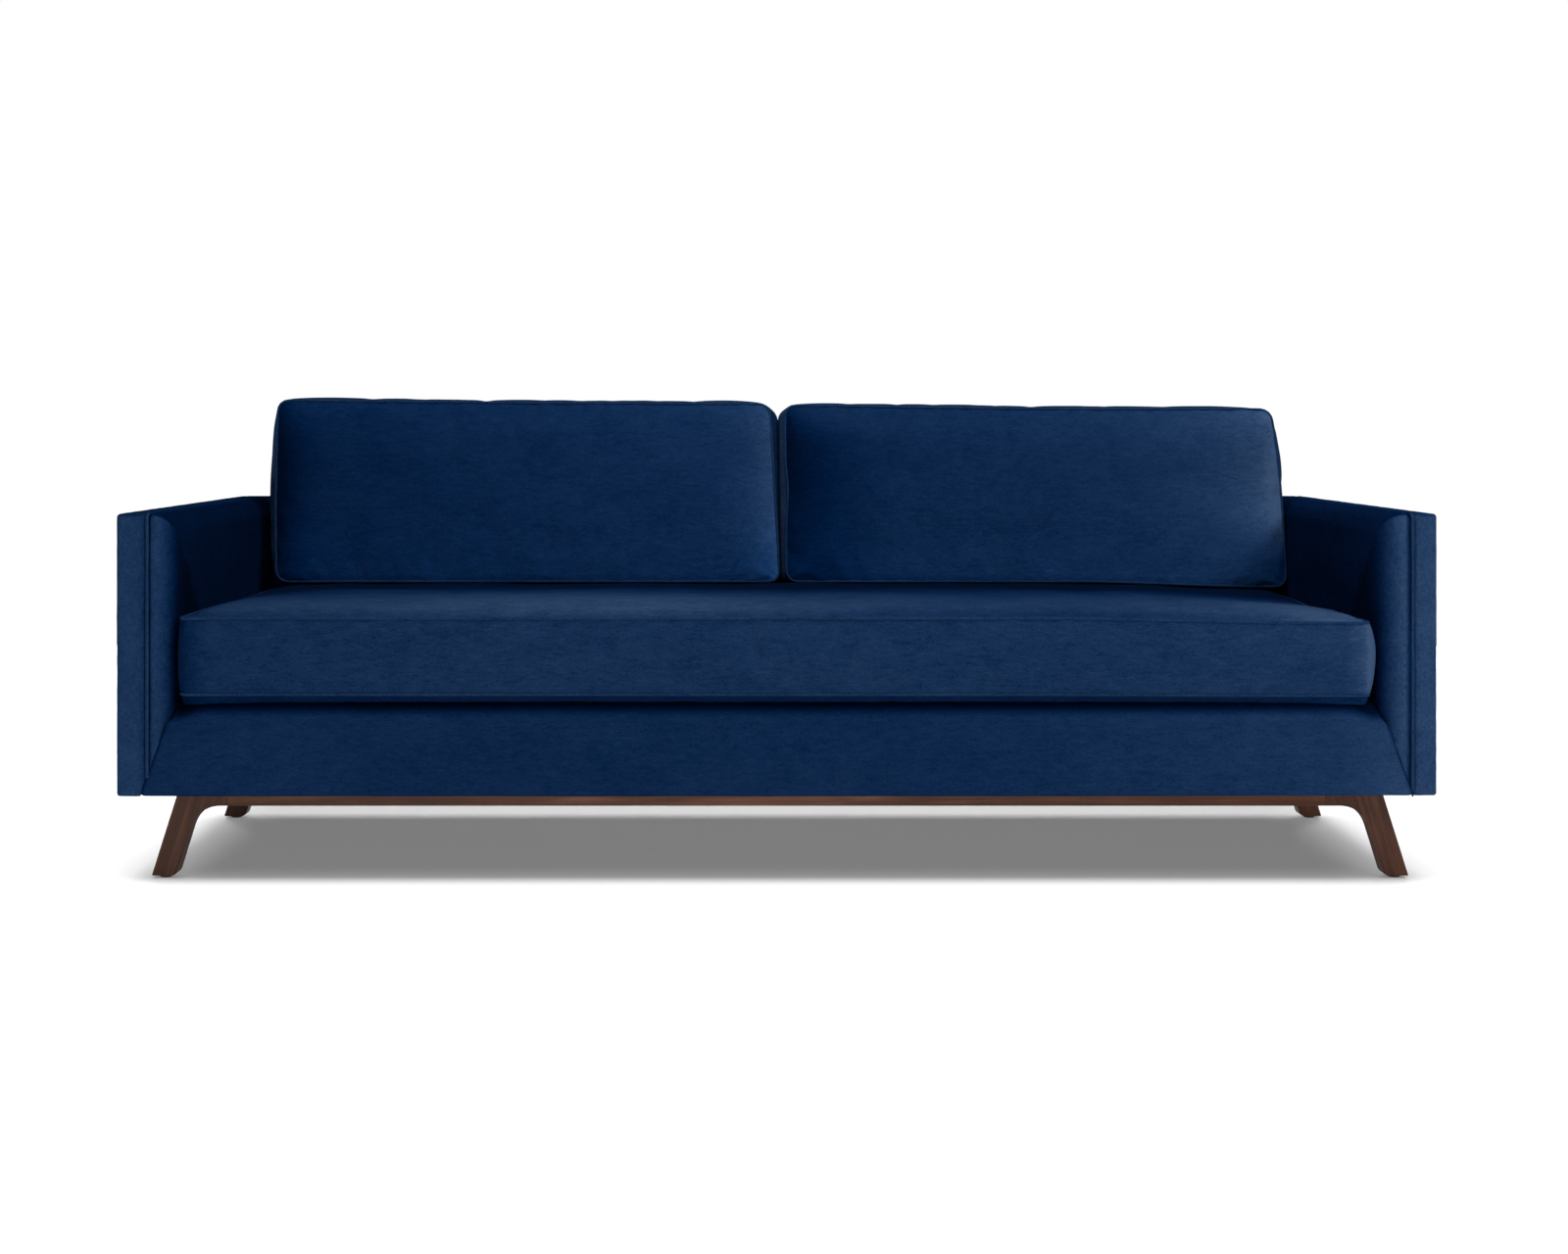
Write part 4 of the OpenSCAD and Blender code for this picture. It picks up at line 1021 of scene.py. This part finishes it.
def make_cushion(name, a, b, thick, r, step, crowns, bulge, outline, place, body, replaces, mat, seed, wrinkle=1.0, painted_shading_map=None, power=0.6, keep_clear=None, foot=0.0,
                 painted_lift_map=None):
    """crowns: (front edge rise, its reach, front broad rise, rear edge rise, its reach, rear broad rise)
    bulge(px, py, nx, ny): how far the boxing swells at a seam point with outward normal nx, ny
    outline(x, y): the seam outline's true place; place(x, y, w): into the row frame"""
    U, V, Wl, gx, gy, dist, loop = box_cushion(a, b, thick, r, step, None)
    nu, nv, nw = len(U), len(V), len(Wl)
    shape = gx.shape
    X, Y = outline(gx, gy)
    C0, L0, C1, L1, C2, D1, M1, D2 = crowns
    broad = (1 - (gx / a) ** 2) * (1 - (gy / b) ** 2)
    far = L1 * (1 + foot * smooth(-gy / b))
    front = -(C0 * (1 - np.exp(-dist / L0)) + C1 * (1 - np.exp(-dist / far)) + C2 * broad)
    rear = thick + D1 * (1 - np.exp(-dist / M1)) + D2 * broad
    # puckers run in from the seam, square to it
    ex, ey = a - np.abs(gx), b - np.abs(gy)
    side_x = ex < ey
    along = np.where(side_x, gy, gx) + np.where(side_x, np.sign(gx) * 5, np.sign(gy) * 11)
    P1 = np.stack([along.ravel(), np.zeros(along.size), np.full(along.size, seed * 1.0)], 1)
    pk = (0.65 * pnoise(P1, (38, 1, 1), seed) + 0.35 * pnoise(P1, (90, 1, 1), seed + 2)).reshape(shape)
    pw = 0.0013 * wrinkle * pk * np.exp(-dist / 0.020) * smooth(dist / 0.006)
    Q = np.stack([gx.ravel(), gy.ravel(), np.zeros(gx.size)], 1)
    wave = (0.0022 * pnoise(Q, (5, 6, 1), seed + 4) + 0.0011 * pnoise(Q, (13, 15, 1), seed + 5)).reshape(shape) * smooth(dist / 0.05) * wrinkle
    # drag lines out of the corners
    cd = np.hypot(a - np.abs(gx), b - np.abs(gy))
    th = np.arctan2(b - np.abs(gy), a - np.abs(gx))
    drag = 0.0016 * wrinkle * np.exp(-cd / 0.07) * np.cos(th * 9 + np.sign(gx) * 1.3 + np.sign(gy) * 0.7 + seed) * smooth(dist / 0.012)
    front = front - (pw + wave + drag)
    rear = rear + 0.7 * (pw + wave + drag)
    idx = np.arange(nu * nv).reshape(nu, nv)
    verts = [np.stack(place(X, Y, front), -1).reshape(-1, 3)]
    rim = np.array([idx[i, j] for i, j in loop])
    bx, by = gx.ravel()[rim], gy.ravel()[rim]
    BX, BY = X.ravel()[rim], Y.ravel()[rim]
    tx, ty = np.roll(BX, -1) - np.roll(BX, 1), np.roll(BY, -1) - np.roll(BY, 1)
    ln = np.hypot(tx, ty)
    nx, ny = ty / ln, -tx / ln
    s = np.cumsum(np.hypot(np.diff(np.append(BX, BX[0])), np.diff(np.append(BY, BY[0]))))
    base_b = nu * nv
    bulges = bulge(bx, by, nx, ny)
    box_rows = []
    for k in range(1, nw - 1):
        t = Wl[k] / thick
        prof = math.sin(math.pi * t) ** power
        dseam = min(Wl[k], thick - Wl[k])
        P2 = np.stack([s, np.full(len(s), (t < 0.5) * 3.0), np.full(len(s), seed)], 1)
        puck = 0.0011 * wrinkle * math.exp(-dseam / 0.016) * smooth(np.array(dseam / 0.005)) * pnoise(P2, (36, 1, 1), seed + 7)
        P3 = np.stack([s, np.full(len(s), Wl[k]), np.full(len(s), seed)], 1)
        wav = 0.0016 * wrinkle * pnoise(P3, (8, 14, 1), seed + 8) * prof
        off = bulges * prof + puck + wav
        x3, y3 = BX + nx * off, BY + ny * off
        verts.append(np.stack(place(x3, y3, np.full(len(x3), Wl[k])), -1))
        box_rows.append(base_b + (k - 1) * len(rim) + np.arange(len(rim)))
    base_r = base_b + (nw - 2) * len(rim)
    verts.append(np.stack(place(X, Y, rear), -1).reshape(-1, 3))
    F = []
    for i in range(nu - 1):
        for j in range(nv - 1):
            F.append((idx[i, j], idx[i + 1, j], idx[i + 1, j + 1], idx[i, j + 1]))
            F.append((base_r + idx[i, j], base_r + idx[i, j + 1], base_r + idx[i + 1, j + 1], base_r + idx[i + 1, j]))
    rows = [rim] + box_rows + [base_r + rim]
    nb = len(rim)
    for q in range(len(rows) - 1):
        for k in range(nb):
            F.append((rows[q][k], rows[q + 1][k], rows[q + 1][(k + 1) % nb], rows[q][(k + 1) % nb]))
    me = bpy.data.meshes.new(name)
    allv = np.concatenate(verts)
    me.from_pydata(allv.tolist(), [], [tuple(int(c) for c in q) for q in F])
    bm = bmesh.new()
    bm.from_mesh(me)
    bmesh.ops.recalc_face_normals(bm, faces=bm.faces)
    bm.to_mesh(me)
    bm.free()
    me.update()
    info = {"a": a, "b": b, "rim_front": rim, "rim_rear": base_r + rim, "nface": nu * nv, "base_rear": base_r, "rows": rows, "nb": nb,
            "gx": gx, "gy": gy, "dist": dist, "nx": nx, "ny": ny, "Wl": Wl}
    # painted light and shade for the cover, and the painted lift of light on top of it
    if painted_shading_map is not None:
        nap(me, painted_shading_map(info, allv))
    else:
        nap(me, 1.0)
    if painted_lift_map is not None:
        nap(me, painted_lift_map(info, allv), "lift")
    ob = piece(name, me, mat, body, replaces)
    simulate(ob, np.concatenate([rim, base_r + rim]), 4.0, 0.012, 0.009, keep_clear)
    m = ob.modifiers.new("subdivision", "SUBSURF")
    m.levels = m.render_levels = 1
    return ob, info


def seam_welt(name, ob, rims, r, body, replaces, mat, lift=0.0, side=0):
    parts = []
    v = coords(ob.data)
    n = normals(ob.data)
    for q, rim in enumerate(rims):
        p = v[rim] + n[rim] * lift
        # even out the spacing
        d = np.linalg.norm(np.roll(p, -1, 0) - p, axis=1)
        s = np.concatenate([[0], np.cumsum(d)])
        m = int(s[-1] / 0.009)
        t = np.linspace(0, s[-1], m, endpoint=False)
        pc = np.vstack([p, p[:1]])
        pts = np.stack([np.interp(t, s, pc[:, k]) for k in range(3)], 1)
        parts.append(tube(pts, r, closed=True, sides=10, wobble=0.06, seed=q + 3.0))
    me = join_tubes(name, parts)
    if side:              # pressed flat against the neighbour
        v = coords(me)
        lim = meet(v[:, 1]) + side * 0.0002
        v[:, 0] = np.minimum(v[:, 0], lim) if side < 0 else np.maximum(v[:, 0], lim)
        set_coords(me, v)
    nap(me, 1.0)
    return piece(name, me, mat, body, replaces)


# seat cushion -------------------------------------------------------
SA, SB = 1.0085, 0.3690          # half sizes of the seam outline
SXC, SYC = -0.0030, -0.0765


def sag(x):
    """how far the right back cushion's outer corner has sunk, and the seat under it"""
    return 0.0100 * smooth((x - 0.60) / 0.38)


def seat_outline(x, y):
    fx, fy = np.abs(x) / SA, np.abs(y) / SB
    pull_x = 0.0018 * np.sin(np.pi * np.clip((1 - fy), 0, 1) / 1.0) * smooth((fx - 0.9) / 0.1)
    pull_y = 0.0030 * smooth((1 - fx) / 0.12) * smooth((fy - 0.75) / 0.25)
    return x - np.sign(x) * pull_x, y - np.sign(y) * pull_y + 0.0 * x


def seat_bulge(px, py, nx, ny):
    c = smooth((SA - np.abs(px)) / 0.10)
    e = smooth((SB - np.abs(py)) / 0.10)
    side = np.where(nx > 0, 0.0140 * (0.80 + 0.20 * e), 0.0070 * (0.60 + 0.40 * e))
    fb = np.where(ny < 0, 0.0085, 0.0045) * (0.45 + 0.55 * c)
    return side * nx ** 2 + fb * ny ** 2


def seat_place(x, y, w):
    X, Y = SXC + x, SYC + y
    # the right end has slipped down a little over the rail, and the far ends are worn lower
    z = SEAT_TOP - w - 0.0078 * smooth((X - 0.42) / 0.56) * smooth((0.12 - Y) / 0.35) * (1 - 0.75 * w / (SEAT_TOP - SEAT_LOW))
    worn = np.where(X > 0, 0.0115 * smooth((X - 0.62) / 0.36), 0.0060 * smooth((-X - 0.78) / 0.22))
    z = z - worn * smooth((Y + 0.30) / 0.24) * (w < 0.05)
    # rests on the deck, and droops over the front rail's roll
    roll = 0.280 + np.sqrt(np.clip(0.025 ** 2 - np.clip(-0.425 - Y, 0, 0.025) ** 2, 0, None))
    low = np.where(Y < -0.425, roll + 0.0014, DECK + 0.0016)
    z = np.where(w > 0.6 * (SEAT_TOP - SEAT_LOW), np.maximum(z, low), z)
    z = np.where(Y > 0.10, np.minimum(z, 0.4606 - sag(X)), z)
    return X, Y, z


def seat_painted_shading(info, v):
    # painted light and shade on the seat cover: the top painted dark towards the back cushions and light towards the
    # front, darker near its seams, with broad lighter and darker stretches across; the left end painted darker and the
    # right end of the boxing given a painted highlight; the boxing a little darker; the underside painted dark
    n = np.ones(len(v))
    k, r = info["nface"], info["base_rear"]
    x, y = v[:, 0], v[:, 1]
    side = 0.88 + 0.12 * smooth((x + 1.0) / 0.5) + 0.12 * smooth((x - 0.55) / 0.4)
    left = 0.50 + 0.50 * smooth((x + 1.012) / 0.060)
    right = 1 + 0.80 * smooth((x - 0.960) / 0.050) + 1.3 * smooth((x - 0.994) / 0.012)
    xt = x[:k]
    n[:k] = 0.97 * (0.12 + 1.58 * smooth((0.01 - y[:k]) / 0.36)) * (0.66 + 0.34 * np.maximum(smooth(info["dist"].ravel() / 0.055), 0.8 * smooth((xt - 0.82) / 0.10))) * (0.96 + 0.13 * np.cos(xt * 4.2 + 0.9))
    n[:k] *= 1 - 0.22 * smooth((xt + 0.20) / 0.25) * (1 - 0.62 * smooth((xt - 0.45) / 0.30)) + 0.22 * smooth((xt - 0.80) / 0.12)
    n[k:r] = 0.87
    near = smooth((-0.425 - y[r:]) / 0.012)
    n[r:] = 0.37 + 0.08 * near
    i = np.arange(len(v))
    return n * side * left * np.where((i < k) | (i >= r), 1.0, right)


def seat_clear(v, base):
    """keeps the filled cushion off the deck, the back cushions and the arms"""
    roll = 0.280 + np.sqrt(np.clip(0.025 ** 2 - np.clip(-0.425 - v[:, 1], 0, 0.025) ** 2, 0, None))
    low = np.where(v[:, 1] < -0.425, roll + 0.0014, DECK + 0.0016)
    v[:, 2] = np.maximum(v[:, 2], np.minimum(low, base[:, 2]))
    v[:, 2] = np.where(v[:, 1] > 0.10, np.minimum(v[:, 2], 0.4606 - sag(v[:, 0])), v[:, 2])
    v[:, 0] = np.clip(v[:, 0], -1.0195, 1.0195)


seat, seat_info = make_cushion("seat_cushion_cloth", SA, SB, SEAT_TOP - SEAT_LOW, 0.014, 0.0155,
                               (0.0030, 0.006, 0.0096, 0.040, 0.0, 0.0240, 0.0030, 0.0), seat_bulge, seat_outline, seat_place,
                               "seat_cushion", ["seat_cushion_cover", "seat_cushion_core"], M_SEAT, 21.0, 1.0, seat_painted_shading,
                               keep_clear=seat_clear)
seam_welt("seat_cushion_cord", seat, (seat_info["rim_front"], seat_info["rim_rear"]), 0.0027, "seat_cushion", ["seat_cushion_welts"], M_WELT, 0.0002)


# back cushions ------------------------------------------------------
BZ = 0.4668                       # height of the bottom seams


MEET = 0.0125                     # the upright plane where the two back cushions press together


def meet(y):
    return MEET - 0.020 * (y - 0.23)


def back_cushion(side):
    left = side < 0
    name = "left" if left else "right"
    if left:
        xl = lambda t: -0.9835 - 0.0050 * smooth(t / 0.5)
        xr = lambda t: 0.0140 - 0.0205 * t
        ztop = lambda s: 0.8258 - 0.0052 * s - 0.0030 * s ** 4
    else:
        xl = lambda t: 0.0275 - 0.0025 * t + 0.0042 * np.exp(-((t - 0.50) / 0.13) ** 2)
        xr = lambda t: 1.0165 - 0.0065 * np.clip(t, 0, 1) - 0.0150 * np.clip(t, 0, 1) ** 3
        ztop = lambda s: 0.8155 - 0.0080 * s
    a, b = 0.4975, 0.1765
    seam_w, thick = 0.0300, 0.134

    def outline(x, y):
        u, t = (x + a) / (2 * a), (y + b) / (2 * b)
        X = xl(t) + (xr(t) - xl(t)) * u
        z1 = ztop(u)
        pull = 0.0030 * np.sin(np.pi * u) * smooth((t - 0.7) / 0.3)
        Z = BZ + (z1 - pull - BZ) * t
        if not left:
            Z = Z - sag(X) * (1 - smooth(t / 0.55))
        return X, Z

    def bulge(px, py, nx, ny):
        t = (py + b) / (2 * b)
        e = smooth((b - np.abs(py)) / 0.060)
        c = smooth((a - np.abs(px)) / 0.12)
        if left:
            out = np.where(nx < 0, 0.0195 * (1 - 0.20 * smooth((t - 0.55) / 0.40)), MEET - xr(t) - 0.0006)
        else:
            arm = np.where(t < 0.47, np.minimum(1.0190 - xr(t), 0.0068), 0.0068 + 0.0075 * smooth((t - 0.47) / 0.25))
            out = np.where(nx > 0, arm, xl(t) - MEET - 0.0006)
        low = smooth((0.5 - t) / 0.2)
        sx = np.maximum(out, 0.0008) * (0.30 + 0.30 * low + (0.70 - 0.30 * low) * e)
        sz = np.where(ny > 0, 0.0036 * (0.35 + 0.65 * c), 0.0020)
        return sx * nx ** 2 + sz * ny ** 2

    front = 0.1442

    def foot_z(x):
        return 0.4622 if left else 0.4622 - sag(x)

    def place(x, z, w):
        return x, front + (w + seam_w) / math.cos(math.radians(7)) + (z - 0.461) * LEAN, np.maximum(z, foot_z(x))

    def painted_shading_map(info, v):
        # painted light and shade on the back cushion's cover: the face darker at its left edge and lighter towards its
        # right edge with a painted highlight there; on the right cushion a painted shadow of the arm at the lower right
        # corner; darker along the bottom seam; the boxing painted lighter where it faces left and darker where it faces
        # right or down; the rear painted darker
        n = np.ones(len(v))
        k, r = info["nface"], info["base_rear"]
        gx, gy = info["gx"].ravel(), info["gy"].ravel()
        el, er, et, eb = a + gx, a - gx, b - gy, b + gy
        up = smooth(et / 0.10)
        face = 0.80 * (0.56 + 0.17 * smooth((gx + a) / (2 * a)) + 0.05 * (1 - up))
        edge_l = 0.34 + 0.66 * smooth((el + 0.012 + 0.030 * (1 - up)) / (0.13 if left else 0.13 + 0.14 * up))
        low = smooth(eb / 0.16)
        edge_r = 1 + (1.0 * np.exp(-er / 0.030) + 0.45 * np.exp(-er / 0.12)) * (0.25 + 0.75 * low)
        if not left:
            face = face * 1.26 * (1 + 0.32 * smooth((gx - 0.15) / 0.3) * low)
            edge_r = edge_r * (1 + 0.55 * np.exp(-er / 0.05) * np.exp(-((eb - 0.18) / 0.08) ** 2))
            edge_r = edge_r * (1 - 0.84 * np.exp(-er / 0.040) * (1 - smooth((eb - 0.03) / 0.12)))
        n[:k] = face * edge_l * edge_r * (0.85 + 0.15 * smooth(eb / 0.02))
        nx, ny = info["nx"], info["ny"]
        band = 0.9 * np.ones(len(nx)) - 0.35 * smooth(nx) + 0.75 * smooth(-nx) - 0.3 * smooth(-ny)
        n[k:r] = np.tile(band, len(info["rows"]) - 2)
        n[r:] = 0.6
        return n

    def clear(v, base):
        mid = meet(v[:, 1])
        # the two cushions press flat against each other, but for their corners
        w = (v[:, 1] - front - (v[:, 2] - 0.461) * LEAN) * math.cos(math.radians(7)) - seam_w
        deep = np.sin(np.pi * np.clip(w / thick, 0, 1)) ** 0.5
        shut = smooth((deep - 0.50) / 0.22) * smooth((0.812 - v[:, 2]) / 0.026) * smooth((v[:, 2] - 0.4610) / 0.012)
        near = np.abs(v[:, 0] - mid) < 0.024
        goal = mid - 0.0002 if left else mid + 0.0002
        v[:, 0] = np.where(near, v[:, 0] + (goal - v[:, 0]) * shut, v[:, 0])
        v[:, 2] = np.maximum(v[:, 2], foot_z(v[:, 0]))
        if left:
            v[:, 0] = np.clip(v[:, 0], -1.0195, meet(v[:, 1]) - 0.0002)
        else:
            v[:, 0] = np.maximum(v[:, 0], meet(v[:, 1]) + 0.0002)
            v[:, 0] = np.minimum(v[:, 0], 1.0195 + 0.015 * smooth((v[:, 2] - 0.634) / 0.060))
        rear = back_y(v[:, 2]) - 0.0030
        v[:, 1] = np.minimum(v[:, 1], np.where(v[:, 2] < 0.60, rear, 1.0))

    def painted_lift_map(info, v):
        # painted light: the face is brightened all over, and more towards the bottom seam, where it lies in shade
        n = np.zeros(len(v))
        k, r = info["nface"], info["base_rear"]
        eb = b + info["gy"].ravel()
        foot = 1 + 0.50 * (1 - smooth(eb / 0.30)) + 1.80 * np.exp(-eb / 0.040)
        n[:k] = foot / (0.80 if left else 0.88) - 1
        return n

    ob, info = make_cushion(f"{name}_back_cushion_cloth", a, b, thick, 0.022, 0.0135,
                            (0.0085, 0.009, 0.0145, 0.060, 0.0060, 0.0065, 0.022, 0.0008), bulge, outline, place,
                            f"{name}_back_cushion", [f"{name}_back_cushion_cover", f"{name}_back_cushion_core"],
                            M_BACK_L if left else M_BACK_R, 33.0 if left else 47.0, 1.15, painted_shading_map, 0.5, clear, 1.2, painted_lift_map)
    seam_welt(f"{name}_back_cushion_cord", ob, (info["rim_front"], info["rim_rear"]), 0.0026, f"{name}_back_cushion",
              [f"{name}_back_cushion_welts"], M_WELT, 0.0004, -1 if left else 1)
    return ob, info


back_l, back_l_info = back_cushion(-1)
back_r, back_r_info = back_cushion(1)


# ------------------------------------------------------------------ floor, light
def stage():
    n = 64
    v = [(0.0, 0.0, 0.0)] + [(4.2 * math.cos(q), 4.2 * math.sin(q), 0.0) for q in np.linspace(0, 2 * math.pi, n, endpoint=False)]
    f = [(0, 1 + i, 1 + (i + 1) % n) for i in range(n)]
    me = bpy.data.meshes.new("floor")
    me.from_pydata(v, [], f)
    ob = bpy.data.objects.new("floor", me)
    bpy.context.scene.collection.objects.link(ob)
    m, nt, bs = new_mat("studio_floor")
    n = noise_tex(nt, tex(nt), 3.0, 3.0, 0.5)
    nt.links.new(ramp(nt, n, [(0.3, (0.895, 0.895, 0.895)), (0.7, (0.905, 0.905, 0.905))]), bs.inputs["Base Color"])
    bs.inputs["Roughness"].default_value = 0.9
    bs.inputs["Specular IOR Level"].default_value = 0.1
    me.materials.append(m)
    return ob


def area(name, loc, target, size, power, color=(1, 1, 1), only=None, shadow=True):
    d = bpy.data.lights.new(name, "AREA")
    d.shape = "RECTANGLE"
    d.size, d.size_y = size
    d.energy = power
    d.color = color
    d.use_shadow = shadow
    ob = bpy.data.objects.new(name, d)
    ob.location = loc
    v = Vector(target) - Vector(loc)
    ob.rotation_euler = v.to_track_quat("-Z", "Y").to_euler()
    bpy.context.scene.collection.objects.link(ob)
    if only is not None:
        ob.light_linking.receiver_collection = only
    return ob


floor = stage()
on_floor = bpy.data.collections.new("light_on_floor")
on_floor.objects.link(floor)
on_sofa = bpy.data.collections.new("light_on_sofa")
for ob in bpy.data.objects:
    if ob.type == "MESH" and ob is not floor:
        on_sofa.objects.link(ob)
world = bpy.data.worlds.new("studio")
bpy.context.scene.world = world
world.use_nodes = True
world.node_tree.nodes["Background"].inputs[0].default_value = (1.0, 1.0, 1.0, 1)
world.node_tree.nodes["Background"].inputs[1].default_value = 1.0
world.cycles_visibility.diffuse = False
world.cycles_visibility.glossy = False

# the floor's own even light, with a soft shadow straight below the sofa
area("floor_top", (0.0, -2.2, 16.0), (0.0, -0.1, 0.0), (12.8, 8.6), 2550, only=on_floor)
area("floor_fill", (0.0, 0.0, 5.0), (0.0, 0.0, 0.0), (10.0, 10.0), 430, only=on_floor, shadow=False)
area("floor_behind", (0.0, 4.6, 2.5), (0.0, 0.3, 0.0), (7.0, 0.5), 320, only=on_floor)
# the sofa's light: a key from the right, a softer one from above and a little from the front
area("key", (2.9, -2.9, 2.7), (0.1, 0.0, 0.42), (1.3, 1.3), 72, only=on_sofa)
area("overhead", (0.2, -0.9, 3.4), (0.0, -0.1, 0.4), (3.4, 2.0), 95, only=on_sofa)
area("front", (-0.5, -4.6, 0.8), (0.0, 0.0, 0.4), (3.4, 1.2), 22, only=on_sofa)

bpy.context.scene.view_settings.view_transform = "Standard"
bpy.context.scene.view_settings.look = "None"
